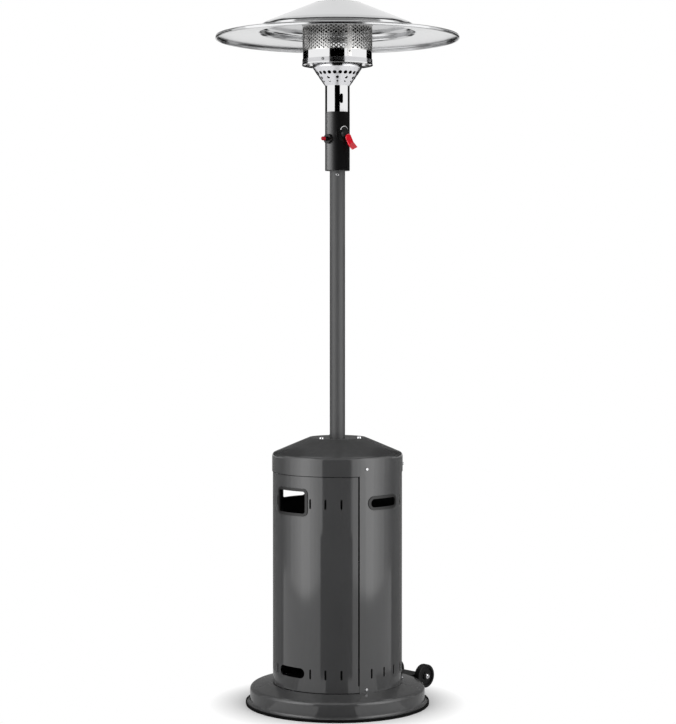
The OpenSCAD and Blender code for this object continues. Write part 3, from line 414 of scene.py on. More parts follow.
@dataclass
class Effects:
    """Shader node groups that several finishes share, each built once."""

    fine_share: float = 0.6
    coarse_scale: float = 0.35
    tone_scale: float = 5.0
    ring_rise: float = 0.83
    blotch_scale: float = 9.0
    dust_facing: Flat = (0.35, 1.0)
    dust_scale: float = 45.0
    dust_specks: Flat = (0.42, 0.75)
    dust_least: float = 0.15
    wear_samples: int = 4
    wear_edge: Flat = (0.985, 0.86)
    wear_scale: float = 70.0
    wear_patch: Flat = (0.4, 0.62)
    # The inner-face mask paints shade inside hollows, and soot on the burner's steel.
    inner_facing: Flat = (-0.1, -0.3)
    inner_scale: float = 60.0
    inner_specks: Flat = (0.3, 0.7)
    inner_least: float = 0.97

    def __post_init__(self) -> None:
        """Builds every group."""
        self.grain = self._grain()
        self.spun = self._spun()
        self.dust = self._dust()
        self.wear = self._wear()
        self.inner = self._inner()

    def _grain(self) -> bpy.types.NodeTree:
        """Builds the fine peel of paint and moulded plastic, as a height and a slow tone.

        Returns:
            The group.
        """
        group = Group("Fine grain", {"Scale": 600.0}, "Height", "Tone")
        scale = group.given["Scale"]
        fine = group.noise(group.place, scale, 2.0)
        coarse = group.noise(group.place, group.math("MULTIPLY", scale, self.coarse_scale), 1.0)
        tone = group.noise(group.place, self.tone_scale, 4.0)
        return group.give(Height=group.blend(fine, coarse, self.fine_share), Tone=tone)

    def _spun(self) -> bpy.types.NodeTree:
        """Builds rings left by spinning or polishing about the pole's axis, as a height and a tone.

        Returns:
            The group.
        """
        group = Group("Spun rings", {"Rings": 900.0}, "Height", "Tone")
        split = group.add("ShaderNodeSeparateXYZ", None, Vector=group.place).outputs
        flat = group.add("ShaderNodeCombineXYZ", None, X=split[0], Y=split[1])
        radius = group.vector("LENGTH", flat.outputs[0])
        along = group.math("ADD", radius, group.math("MULTIPLY", split[2], self.ring_rise))
        line = group.add("ShaderNodeCombineXYZ", None, X=group.math("MULTIPLY", along, group.given["Rings"]))
        rings = group.noise(line.outputs[0], 1.0, 4.0)
        blotch = group.noise(group.place, self.blotch_scale, 3.0)
        return group.give(Height=rings, Tone=group.blend(rings, blotch, self.fine_share))

    def _dust(self) -> bpy.types.NodeTree:
        """Builds a mask of thin dust that settles on faces that look up.

        Returns:
            The group.
        """
        group = Group("Settled dust", {"Amount": 0.2}, "Mask")
        facing = group.add("ShaderNodeNewGeometry").outputs["Normal"]
        up = group.add("ShaderNodeSeparateXYZ", None, Vector=facing).outputs[2]
        level = group.span(up, self.dust_facing, 0.0, 1.0)
        cloud = group.noise(group.place, self.dust_scale, 6.0)
        speck = group.span(cloud, self.dust_specks, self.dust_least, 1.0)
        mask = group.math("MULTIPLY", level, speck)
        return group.give(Mask=group.math("MULTIPLY", mask, group.given["Amount"]))

    def _wear(self) -> bpy.types.NodeTree:
        """Builds a mask of rubbed edges from a rounded normal.

        Returns:
            The group.
        """
        group = Group("Edge wear", {"Width": 0.0015, "Amount": 0.3}, "Mask")
        true = group.add("ShaderNodeNewGeometry").outputs["Normal"]
        soft = group.add("ShaderNodeBevel", {"samples": self.wear_samples}, Radius=group.given["Width"])
        edge = group.span(group.vector("DOT_PRODUCT", true, soft.outputs[0]), self.wear_edge, 0.0, 1.0)
        patch = group.span(group.noise(group.place, self.wear_scale, 5.0), self.wear_patch, 0.0, 1.0)
        mask = group.math("MULTIPLY", edge, patch)
        return group.give(Mask=group.math("MULTIPLY", mask, group.given["Amount"]))

    def _inner(self) -> bpy.types.NodeTree:
        """Builds a mask of faces that look towards the pole's axis, such as the inside of a tube, for painted
        shade.

        Returns:
            The group.
        """
        group = Group("Inner face", {"Amount": 1.0}, "Mask")
        away = group.vector("NORMALIZE", group.vector("MULTIPLY", group.place, (1.0, 1.0, 0.0)))
        looks = group.vector("DOT_PRODUCT", away, group.coordinates.outputs["Normal"])
        cloud = group.noise(group.place, self.inner_scale, 4.0)
        speck = group.span(cloud, self.inner_specks, self.inner_least, 1.0)
        # Painted shade inside hollows; on the burner's steel it also stands for soot.
        mask = group.math("MULTIPLY", group.span(looks, self.inner_facing, 0.0, 1.0), speck)
        return group.give(Mask=group.math("MULTIPLY", mask, group.given["Amount"]))


@dataclass(frozen=True)
class Finish:
    """One surface finish, with its colours in linear values."""

    tone_range: ClassVar[Flat] = (0.3, 0.7)
    rough_range: ClassVar[Flat] = (0.25, 0.75)
    dust_colour: ClassVar[Point] = (0.42, 0.41, 0.39)
    dulling: ClassVar[float] = 0.4

    name: str
    colour: Point
    shade: Point
    roughness: float
    metallic: float = 0.0
    coat: float = 0.0
    coat_roughness: float = 0.1
    coat_ior: float = 1.5
    rough_swing: float = 0.06
    grain: Grain = Grain.MOULDED
    grain_scale: float = 700.0
    grain_depth: float = 0.00002
    dust: float = 0.0
    worn: Point = grey(0.5)
    wear: float = 0.0
    wear_width: float = 0.0012
    ior: float = 1.5
    specular: float = 0.5
    # Inner faces get this share of a darker colour: painted shade in hollows, and soot on the burner's steel.
    inside: float = 0.0
    soot_and_shade: Point = grey(0.006)

    def material(self, effects: Effects) -> bpy.types.Material:
        """Builds the material.

        Args:
            effects: The shared node groups.

        Returns:
            The material.
        """
        made = bpy.data.materials.new(self.name)
        made.use_nodes = True
        made.diffuse_color = (*self.colour, 1.0)
        graph = Graph(made.node_tree)
        shader = made.node_tree.nodes["Principled BSDF"].inputs
        shader["Metallic"].default_value = self.metallic
        shader["IOR"].default_value = self.ior
        shader["Specular IOR Level"].default_value = self.specular
        shader["Coat Weight"].default_value = self.coat
        shader["Coat Roughness"].default_value = self.coat_roughness
        shader["Coat IOR"].default_value = self.coat_ior
        turned = self.grain in (Grain.SPUN, Grain.PLATED)
        fine = graph.group(effects.spun if turned else effects.grain, i0=self.grain_scale)
        tone, swing = fine["Tone"], self.rough_swing
        colour = graph.mix(
            graph.span(tone, self.tone_range, 0.0, 1.0), (*self.colour, 1.0), (*self.shade, 1.0)
        )
        rough = graph.span(tone, self.rough_range, self.roughness - swing, self.roughness + swing)
        if self.wear > 0.0:
            rubbed = graph.group(effects.wear, Width=self.wear_width, Amount=self.wear)[0]
            colour = graph.mix(rubbed, colour, (*self.worn, 1.0))
        if self.dust > 0.0:
            settled = graph.group(effects.dust, Amount=self.dust)[0]
            colour = graph.mix(settled, colour, (*self.dust_colour, 1.0))
            rough = graph.math("ADD", rough, graph.math("MULTIPLY", settled, self.dulling))
        # Painted shade on inner faces, and soot on burner steel: darker, rougher and without the coat.
        if self.inside > 0.0:
            shade_and_soot_mask = graph.group(effects.inner, Amount=self.inside)[0]
            colour = graph.mix(shade_and_soot_mask, colour, (*self.soot_and_shade, 1.0))
            rough = graph.math("ADD", rough, graph.math("MULTIPLY", shade_and_soot_mask, self.dulling))
            if self.coat > 0.0:
                bare = graph.span(shade_and_soot_mask, (0.0, 1.0), self.coat, 0.0)
                made.node_tree.links.new(bare, shader["Coat Weight"])
        depth = {"Strength": 1.0, "Distance": self.grain_depth}
        bump = graph.add("ShaderNodeBump", None, Height=fine["Height"], **depth)
        made.node_tree.links.new(colour, shader["Base Color"])
        made.node_tree.links.new(rough, shader["Roughness"])
        made.node_tree.links.new(bump.outputs[0], shader["Normal"])
        return made


class Finishes:
    """Every finish of the heater, built once."""

    # The coat's inner faces get painted shade inside the housing.
    coat = Finish(
        "anthracite_coat", (0.0450, 0.0453, 0.0462), (0.0513, 0.0515, 0.0525), 0.50, coat=0.95,
        coat_roughness=0.09, grain=Grain.PEEL, grain_scale=420.0, grain_depth=0.00001, dust=0.04,
        worn=(0.16, 0.16, 0.165), wear=0.12, inside=1.0, soot_and_shade=(0.022, 0.022, 0.0225), specular=0.1,
    )
    pole_coat = Finish(
        "pole_coat", (0.068, 0.0682, 0.069), (0.073, 0.0732, 0.074), 0.50, coat=0.32, coat_roughness=0.36,
        grain=Grain.PEEL, grain_scale=420.0, grain_depth=0.00001, worn=(0.16, 0.16, 0.165), wear=0.12,
        specular=0.2,
    )
    # The head's inner faces get painted shade inside the control housing.
    head_coat = Finish(
        "control_housing_coat", (0.002, 0.002, 0.0022), (0.003, 0.003, 0.0032), 0.42, grain=Grain.PEEL,
        grain_scale=520.0, grain_depth=0.00001, worn=grey(0.08), wear=0.15, ior=1.3, specular=0.34,
        inside=1.0,
    )
    # A darker, duller copy of the anthracite coat for the uprights: painted shade inside the bay.
    inside = Finish(
        "bay_coat", (0.026, 0.026, 0.0265), (0.032, 0.032, 0.0325), 0.6, grain=Grain.PEEL,
        grain_scale=420.0,
    )
    plastic = Finish(
        "black_moulding", grey(0.005), grey(0.008), 0.42, grain_scale=900.0, grain_depth=0.00003, dust=0.02,
        worn=grey(0.05), wear=0.2, specular=0.25,
    )
    trim_plastic = Finish(
        "trim_moulding", grey(0.007), grey(0.010), 0.38, grain_scale=900.0, grain_depth=0.00003, dust=0.02,
        specular=0.35,
    )
    red = Finish(
        "red_moulding", (0.60, 0.003, 0.014), (0.66, 0.005, 0.018), 0.40, coat=1.0, coat_roughness=0.05,
        coat_ior=1.8, specular=0.05, grain_scale=800.0, grain_depth=0.000004, worn=(0.75, 0.16, 0.18),
        wear=0.12,
    )
    # A darker copy of the red moulding for the igniter's cap: painted shade.
    red_in_painted_shade = Finish(
        "deep_red_moulding", (0.36, 0.003, 0.012), (0.40, 0.004, 0.016), 0.34, specular=0.15,
        grain_scale=800.0, grain_depth=0.00001,
    )
    gloss_plastic = Finish(
        "glossy_black_moulding", grey(0.003), grey(0.005), 0.22, grain_scale=900.0, grain_depth=0.00001,
        specular=0.35,
    )
    # These burner steels get soot and painted shade on their inner faces.
    polished = Finish(
        "polished_steel", (0.82, 0.82, 0.83), (0.88, 0.88, 0.885), 0.06, metallic=1.0, rough_swing=0.02,
        grain=Grain.SPUN, grain_scale=1400.0, grain_depth=0.0000005, inside=1.0, soot_and_shade=grey(0.03),
    )
    cone_steel = Finish(
        "cone_steel", (0.66, 0.66, 0.68), (0.74, 0.74, 0.76), 0.22, metallic=1.0, rough_swing=0.05,
        grain=Grain.SPUN, grain_scale=1100.0, grain_depth=0.000001, inside=1.0, soot_and_shade=grey(0.02),
    )
    pan_steel = Finish(
        "pan_steel", (0.62, 0.62, 0.635), (0.70, 0.70, 0.715), 0.14, metallic=1.0, rough_swing=0.03,
        grain=Grain.SPUN, grain_scale=1100.0, grain_depth=0.000001, inside=1.0, soot_and_shade=grey(0.02),
    )
    screen_steel = Finish(
        "screen_steel", (0.52, 0.515, 0.50), (0.62, 0.61, 0.60), 0.26, metallic=1.0, rough_swing=0.05,
        grain=Grain.PLATED, grain_scale=600.0, grain_depth=0.000002, inside=1.0, soot_and_shade=grey(0.012),
    )
    sheet = Finish(
        "reflector_sheet", (0.56, 0.563, 0.568), (0.60, 0.603, 0.608), 0.15, metallic=1.0, rough_swing=0.04,
        grain=Grain.SPUN, grain_scale=700.0, grain_depth=0.000004,
    )
    rubber = Finish(
        "black_rubber", grey(0.003), grey(0.005), 0.75, grain_scale=900.0, grain_depth=0.00003,
        specular=0.05,
    )
    burnt = Finish(
        "burnt_metal", (0.012, 0.010, 0.008), (0.03, 0.022, 0.016), 0.5, grain_scale=400.0,
        grain_depth=0.00002, worn=(0.12, 0.08, 0.05), wear=0.2, specular=0.15,
    )
    soot = Finish(
        "sooty_steel", (0.030, 0.029, 0.028), (0.050, 0.048, 0.045), 0.55, metallic=1.0, grain=Grain.PLATED,
        grain_scale=500.0, grain_depth=0.000004,
    )
    zinc = Finish(
        "zinc_plate", (0.58, 0.59, 0.61), (0.66, 0.67, 0.69), 0.30, metallic=1.0, grain=Grain.PLATED,
        grain_scale=500.0, grain_depth=0.000004,
    )
    bright = Finish(
        "bright_screw", (0.78, 0.78, 0.79), (0.84, 0.84, 0.85), 0.16, metallic=1.0, rough_swing=0.04,
        grain=Grain.PLATED, grain_scale=900.0, grain_depth=0.000002,
    )
    screw = Finish(
        "plated_screw", (0.40, 0.40, 0.41), (0.48, 0.48, 0.49), 0.24, metallic=1.0, rough_swing=0.04,
        grain=Grain.PLATED, grain_scale=900.0, grain_depth=0.000002,
    )
    brass = Finish(
        "brass", (0.62, 0.44, 0.17), (0.70, 0.52, 0.24), 0.24, metallic=1.0, grain=Grain.PLATED,
        grain_scale=900.0, grain_depth=0.000004,
    )
    copper = Finish(
        "copper", (0.58, 0.27, 0.15), (0.66, 0.34, 0.20), 0.30, metallic=1.0, grain=Grain.PLATED,
        grain_scale=900.0, grain_depth=0.000004,
    )
    ceramic = Finish(
        "white_insulator", (0.72, 0.71, 0.68), (0.78, 0.77, 0.74), 0.30, grain_scale=700.0,
        grain_depth=0.00001,
    )
    print_white = Finish(
        "white_print", grey(0.72), grey(0.78), 0.5, grain_scale=900.0, grain_depth=0.00001,
    )

    def __init__(self, effects: Effects) -> None:
        """Keeps the shared groups and starts with no material."""
        self.effects = effects
        self.made: dict[str, bpy.types.Material] = {}

    def put(self, made: bpy.types.Object, finish: Finish) -> None:
        """Puts a finish on an object, building its material on first use.

        Args:
            made: The object.
            finish: The finish.
        """
        if finish.name not in self.made:
            self.made[finish.name] = finish.material(self.effects)
        made.data.materials.clear()
        made.data.materials.append(self.made[finish.name])


@dataclass
class SubAssembly:
    """A part of the heater that is dressed and built together."""

    finishes: Finishes

    def dress(self, finish: Finish, *names: str) -> None:
        """Puts a finish on CAD nodes."""
        for name in names:
            self.finishes.put(NODES[name], finish)

    def piece(self, made: bpy.types.Object, finish: Finish, body: Body, slot: str, *replaced: str) -> None:
        """Gives a new piece its finish and body.

        Args:
            made: The piece.
            finish: Its finish.
            body: The body that it rides on.
            slot: The record's material slot; not used.
            replaced: CAD nodes that it stands for.
        """
        self.finishes.put(made, finish)
        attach(made, body.value)
        if replaced:
            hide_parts(*replaced)
        LOG.info("piece %s rides on %s", made.name, body.value)


@dataclass(frozen=True)
class Flag:
    """A dark or grey cloth that only reflections show.

    Its span is two azimuths from the camera's side, and each of its two edges is a radius and a height.
    """

    name: str
    span: Flat
    edges: tuple[Flat, Flat]
    tone: float = 0.0
    steps: int = 24

    def hang(self, view: float) -> None:
        """Builds the cloth.

        Args:
            view: The camera's azimuth.
        """
        span = (view + self.span[0], view + self.span[1])
        lines = [around(radius, span, height, self.steps) for radius, height in self.edges]
        flag = Shape().strip(*lines).object(self.name)
        look = bpy.data.materials.new(f"{self.name}_cloth")
        graph = Graph.emptied(look)
        cloth = graph.add("ShaderNodeEmission", None, Color=(*grey(self.tone), 1.0), Strength=1.0)
        graph.add("ShaderNodeOutputMaterial", None, Surface=cloth.outputs[0])
        flag.data.materials.append(look)
        flag.visible_camera = False
        flag.visible_diffuse = False
        flag.visible_shadow = False
        flag.visible_transmission = False
        flag.visible_volume_scatter = False


@dataclass(frozen=True)
class Lamp:
    """A rectangular soft lamp that faces the pole, its azimuth counted from the camera's side."""

    name: str
    azimuth: float
    distance: float
    height: float
    size: Flat
    power: float
    aim: float = 1.2

    def hang(self, view: float) -> bpy.types.Object:
        """Builds the lamp.

        Args:
            view: The camera's azimuth.

        Returns:
            The lamp.
        """
        data = bpy.data.lights.new(self.name, "AREA")
        data.shape = "RECTANGLE"
        data.size, data.size_y = self.size
        data.energy = self.power
        made = bpy.data.objects.new(self.name, data)
        made.location = polar(self.distance, view + self.azimuth, self.height)
        way = Vector((0.0, 0.0, self.aim)) - made.location
        made.rotation_euler = way.to_track_quat("-Z", "Y").to_euler()
        made.visible_camera = False
        bpy.context.scene.collection.objects.link(made)
        return made


@dataclass
class Studio:
    """Camera, floor, lamps and flags, all placed from the photograph's side."""

    view_azimuth: float = 45.0
    distance: float = 6.0585
    eye_height: float = 1.3330
    tilt: float = 1.1393
    focal: float = 96.644
    sensor: float = 36.0
    sight: float = 100.0
    shift: Flat = (0.0008, -0.065)
    floor_rings: tuple[float, ...] = (0.0, 0.6, 2.0, 40.0)
    floor_tone: float = 0.86
    shadow_reach: Flat = (0.285, 0.40)
    shadow_share: float = 0.15
    fill: float = 0.30
    boxes: tuple[Point, ...] = (
        (56.0, 0.7, 4.5), (56.0, 1.3, 6.8), (56.0, 1.9, 8.3), (57.0, 2.8, 19.5), (62.0, 3.6, 10.5),
    )
    box_distance: float = 2.2
    box_step: float = 0.03
    box_middle: float = 1.35
    box_height: float = 3.6
    head_light: Lamp = Lamp("head_light", -80.0, 1.3, 1.755, (1.5, 0.7), 68.0, 1.755)
    back_light: Lamp = Lamp("back_light", 180.0, 2.6, 1.5, (2.4, 2.6), 34.0)
    head_piece: str = "control_housing"
    mirrors: tuple[str, ...] = (
        "burner_tube", "burner_pan", "burner_pan_hem", "emitter_foot_band", "pan_screw_heads",
    )
    sheet_piece: str = "reflector_sheet_metal"
    sheet_box: int = 3
    flags: tuple[Flag, ...] = (
        Flag("flag_front", (-25.5, 23.0), ((3.0, 0.0), (3.0, 2.62))),
        Flag("flag_foot", (-26.0, 23.0), ((0.75, 0.0), (0.75, 0.48))),
        Flag("flag_floor", (-17.0, 15.5), ((0.28, 0.002), (0.75, 0.002))),
        Flag("flag_deck", (95.0, 265.0), ((0.6, 0.0), (0.6, 0.75)), 0.2),
        Flag("flag_high", (-125.0, 125.0), ((1.5, 2.78), (1.5, 3.6)), 0.05),
        Flag("flag_bead", (-62.0, 62.0), ((1.5, 2.27), (1.5, 2.78)), 0.30),
        Flag("flag_cap", (150.0, 210.0), ((0.5, 0.80), (0.5, 1.64)), 0.12),
        Flag("flag_head", (12.0, 135.0), ((0.8, 1.64), (0.8, 1.905))),
    )
    paired_flags: tuple[Flag, ...] = (
        Flag("flag_back", (110.0, 158.0), ((3.0, 1.75), (3.0, 2.42))),
        Flag("flag_side_0", (75.0, 82.0), ((3.0, 0.0), (3.0, 1.72)), 0.88),
        Flag("flag_side_1", (82.0, 89.0), ((3.0, 0.0), (3.0, 1.72)), 0.74),
        Flag("flag_side_2", (89.0, 96.0), ((3.0, 0.0), (3.0, 1.72)), 0.6),
        Flag("flag_side_3", (96.0, 103.0), ((3.0, 0.0), (3.0, 1.72)), 0.46),
        Flag("flag_side_4", (103.0, 110.0), ((3.0, 0.0), (3.0, 1.72)), 0.34),
        Flag("flag_cone", (139.0, 170.0), ((3.0, 0.9), (3.0, 1.72))),
        Flag("flag_floor", (62.0, 180.0), ((0.28, 0.0015), (0.75, 0.0015)), 0.4),
        Flag("flag_pole", (105.0, 150.0), ((0.5, 0.80), (0.5, 1.45)), 0.03),
        Flag("flag_bead", (98.0, 150.0), ((1.5, 2.27), (1.5, 2.78)), 0.15),
    )
    soft_boxes: list[bpy.types.Object] = field(default_factory=list)

    def build(self) -> None:
        """Builds the camera, the floor, the lamps, the flags and the world."""
        self._camera()
        self._floor()
        self._lamps()
        self._flags()
        self._world()

    def _camera(self) -> None:
        """Sets the camera at the photograph's angle."""
        data = bpy.data.cameras.new("camera")
        data.sensor_width = self.sensor
        data.lens = self.focal
        data.shift_x, data.shift_y = self.shift
        data.clip_end = self.sight
        made = bpy.data.objects.new("camera", data)
        made.location = polar(self.distance, self.view_azimuth, self.eye_height)
        made.rotation_euler = (math.radians(90.0 - self.tilt), 0.0, math.radians(self.view_azimuth))
        bpy.context.scene.collection.objects.link(made)
        bpy.context.scene.camera = made

    def _floor(self) -> None:
        """Lays a pale floor that keeps the heater's shadow and turns white further out."""
        floor = Shape().lathe([(radius, 0.0) for radius in self.floor_rings], steps=64).object("floor")
        look = bpy.data.materials.new("pale_floor")
        graph = Graph.emptied(look)
        place = graph.add("ShaderNodeTexCoord").outputs["Object"]
        share = graph.span(graph.vector("LENGTH", place), self.shadow_reach, self.shadow_share, 1.0)
        blank = graph.math("MULTIPLY", graph.seen(), share)
        pale = graph.add("ShaderNodeBsdfDiffuse", None, Color=(*grey(self.floor_tone), 1.0))
        white = graph.add("ShaderNodeEmission", None, Color=WHITE, Strength=1.0)
        both = graph.add("ShaderNodeMixShader", None, i0=blank, i1=pale.outputs[0], i2=white.outputs[0])
        graph.add("ShaderNodeOutputMaterial", None, Surface=both.outputs[0])
        floor.data.materials.append(look)

    def _flags(self) -> None:
        """Hangs the flags that give the dark strips and edges on glossy surfaces."""
        for flag in self.flags:
            flag.hang(self.view_azimuth)
        for flag in self.paired_flags:
            for name, side in SIDES.items():
                span = (side * flag.span[0], side * flag.span[1])
                replace(flag, name=f"{flag.name}_{name}", span=span).hang(self.view_azimuth)

    def _lamps(self) -> None:
        """Hangs tall soft boxes on both sides of the camera, a small one beside the head and one behind."""
        for name, side in SIDES.items():
            for k, (turn, wide, power) in enumerate(self.boxes):
                away, size = self.box_distance + self.box_step * k, (wide, self.box_height)
                box = Lamp(f"soft_box_{name}_{k}", side * turn, away, self.box_middle, size, power)
                self.soft_boxes.append(box.hang(self.view_azimuth))
        self._link(self.head_light.hang(self.view_azimuth), Reach.ONLY, self.head_piece)
        back = self.back_light.hang(self.view_azimuth)
        back.visible_glossy = False
        self._link(back, Reach.NOT, "floor")

    @staticmethod
    def _link(lamp: bpy.types.Object, reach: Reach, *names: str) -> None:
        """Keeps a lamp off some objects or on them alone, as small flags would.

        Args:
            lamp: The lamp.
            reach: Whether it lights the objects.
            names: The objects.
        """
        group = bpy.data.collections.new(f"{lamp.name}_reach")
        for name in names:
            group.objects.link(NODES[name] if name in NODES else bpy.data.objects[name])
        lamp.light_linking.receiver_collection = group
        for entry in group.collection_objects:
            entry.light_linking.link_state = reach.value

    def shade(self) -> None:
        """Keeps soft boxes off the head and bright pieces, and all but one a side off the reflector."""
        for i, lamp in enumerate(self.soft_boxes):
            names = [self.head_piece, *self.mirrors]
            if i % len(self.boxes) != self.sheet_box:
                names.append(self.sheet_piece)
            self._link(lamp, Reach.NOT, *names)

    def _world(self) -> None:
        """Fills with grey light and shows white behind the heater."""
        world = bpy.data.worlds.new("studio")
        bpy.context.scene.world = world
        graph = Graph.emptied(world)
        strength = graph.span(graph.seen(), (0.0, 1.0), self.fill, 1.0)
        back = graph.add("ShaderNodeBackground", None, Color=WHITE, Strength=strength)
        graph.add("ShaderNodeOutputWorld", None, Surface=back.outputs[0])


@dataclass
class ScrewHead:
    """A low round head with a cross recess, its own Z pointing out of the head."""

    radius: float = 0.00475
    height: float = 0.0025
    arm: float = 0.0026
    slot: float = 0.0009
    deep: float = 0.0011
    flat: float = 0.72
    rim: float = 0.3
    taper: float = 0.8
    turns: tuple[float, ...] = (0.4, 0.8, 1.2, math.pi / 2)
    steps: int = 24

    def add(self, shape: Shape, place: Matrix) -> None:
        """Adds the head to a shape.

        Args:
            shape: The shape that collects the heads.
            place: The seat of the head.
        """
        r, h, rim = self.radius, self.height, self.rim * self.height
        dome = [(r, 0.0), (r, rim)]
        dome += [
            (r - (r - self.flat * r) * (1.0 - math.cos(t)), rim + (h - rim) * math.sin(t)) for t in self.turns
        ]
        rings = [shape.ring(radius, height, self.steps, place) for radius, height in dome]
        for low, high in zip(rings, rings[1:]):
            shape.band(low, high)
        a, b = self.arm, self.slot
        cross = [(a, -b), (a, b), (b, b), (b, a), (-b, a), (-b, b)]
        cross += [(-x, -y) for x, y in cross]
        upper = shape.points(place @ Vector((x, y, h)) for x, y in cross)
        cross = [(self.taper * x, self.taper * y) for x, y in cross]
        lower = shape.points(place @ Vector((x, y, h - self.deep)) for x, y in cross)
        shape.band(upper, lower)
        shape.mesh.faces.new(lower)
        loops = [zip(loop, loop[1:] + loop[:1]) for loop in (upper, rings[-1])]
        edges = [shape.mesh.edges.get(ends) for loop in loops for ends in loop]
        bmesh.ops.triangle_fill(shape.mesh, edges=edges, use_beauty=True)


@dataclass
class Base(SubAssembly):
    """The base pan, its trim and its wheels."""

    def build(self) -> None:
        """Dresses the base's nodes."""
        self.dress(Finishes.coat, "base_pan")
        self.dress(Finishes.rubber, "base_trim")
        self.dress(Finishes.plastic, "wheel_bracket", "wheel_left", "wheel_right")
        self.dress(Finishes.zinc, "bracket_screws", "wheel_axle", "foot_screws")
        self.dress(Finishes.bright, "axle_caps")
        LOG.info("base dressed")


@dataclass
class BottleHousing(SubAssembly):
    """The round housing, its door and its cap."""

    screw_azimuths: tuple[float, ...] = (-135.5, -71.0, 71.0, 135.5)
    screw_heights: Flat = (0.0775, 0.7485)
    screw_seats: Flat = (0.20185, 0.20385)
    bolt_azimuths: tuple[float, ...] = (0.0, 120.0, 240.0)
    bolt_circle: float = 0.070
    cap_top: float = 0.83115

    def build(self) -> None:
        """Dresses the housing's nodes."""
        self.dress(Finishes.coat, "housing_shell", "door", "housing_cap")
        self.dress(Finishes.inside, "upright_front_left", "upright_front_right")
        self.dress(Finishes.inside, "upright_rear_left", "upright_rear_right")
        self.dress(Finishes.trim_plastic, "hand_hole_trim_left", "hand_hole_trim_right", "window_trim")
        self.dress(Finishes.plastic, "catch_magnet")
        self.dress(Finishes.zinc, "hinge_bracket", "hinge_pin_upper", "hinge_pin_lower", "catch_strike")
        self.dress(Finishes.zinc, "shell_nuts", "pole_flange", "flange_nuts")
        self._screws()
        LOG.info("bottle housing dressed")

    def _screws(self) -> None:
        """Builds the shell's screw heads and the bolt heads on the cap."""
        shape = Shape()
        for azimuth in self.screw_azimuths:
            for height, seat in zip(self.screw_heights, self.screw_seats):
                ScrewHead().add(shape, outward(seat, azimuth, height))
        self.piece(
            shape.object("shell_screw_heads"), Finishes.screw, Body.HEATER, "zinc_steel", "shell_screws"
        )
        shape = Shape()
        _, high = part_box("flange_bolts")
        head = ScrewHead(radius=0.0075, height=high[2] - self.cap_top, arm=0.0040, slot=0.0013, deep=0.0018)
        for azimuth in self.bolt_azimuths:
            head.add(shape, Matrix.Translation(polar(self.bolt_circle, azimuth, self.cap_top)))
        self.piece(
            shape.object("flange_bolt_heads"), Finishes.bright, Body.HEATER, "zinc_steel", "flange_bolts"
        )


@dataclass
class Pole(SubAssembly):
    """The pole and the gas pipe inside it."""

    screw_azimuths: Flat = (45.0, 225.0)
    screw_seat: float = 0.02415
    screw_height: float = 1.649

    def build(self) -> None:
        """Dresses the pole's nodes and builds its screw heads."""
        self.dress(Finishes.pole_coat, "pole")
        shape = Shape()
        for azimuth in self.screw_azimuths:
            ScrewHead().add(shape, outward(self.screw_seat, azimuth, self.screw_height))
        self.piece(
            shape.object("pole_screw_heads"), Finishes.bright, Body.HEATER, "zinc_steel", "pole_screws"
        )
        self.dress(Finishes.copper, "gas_supply_pipe")
        self.dress(Finishes.brass, "gas_inlet_nipple")
        LOG.info("pole dressed")


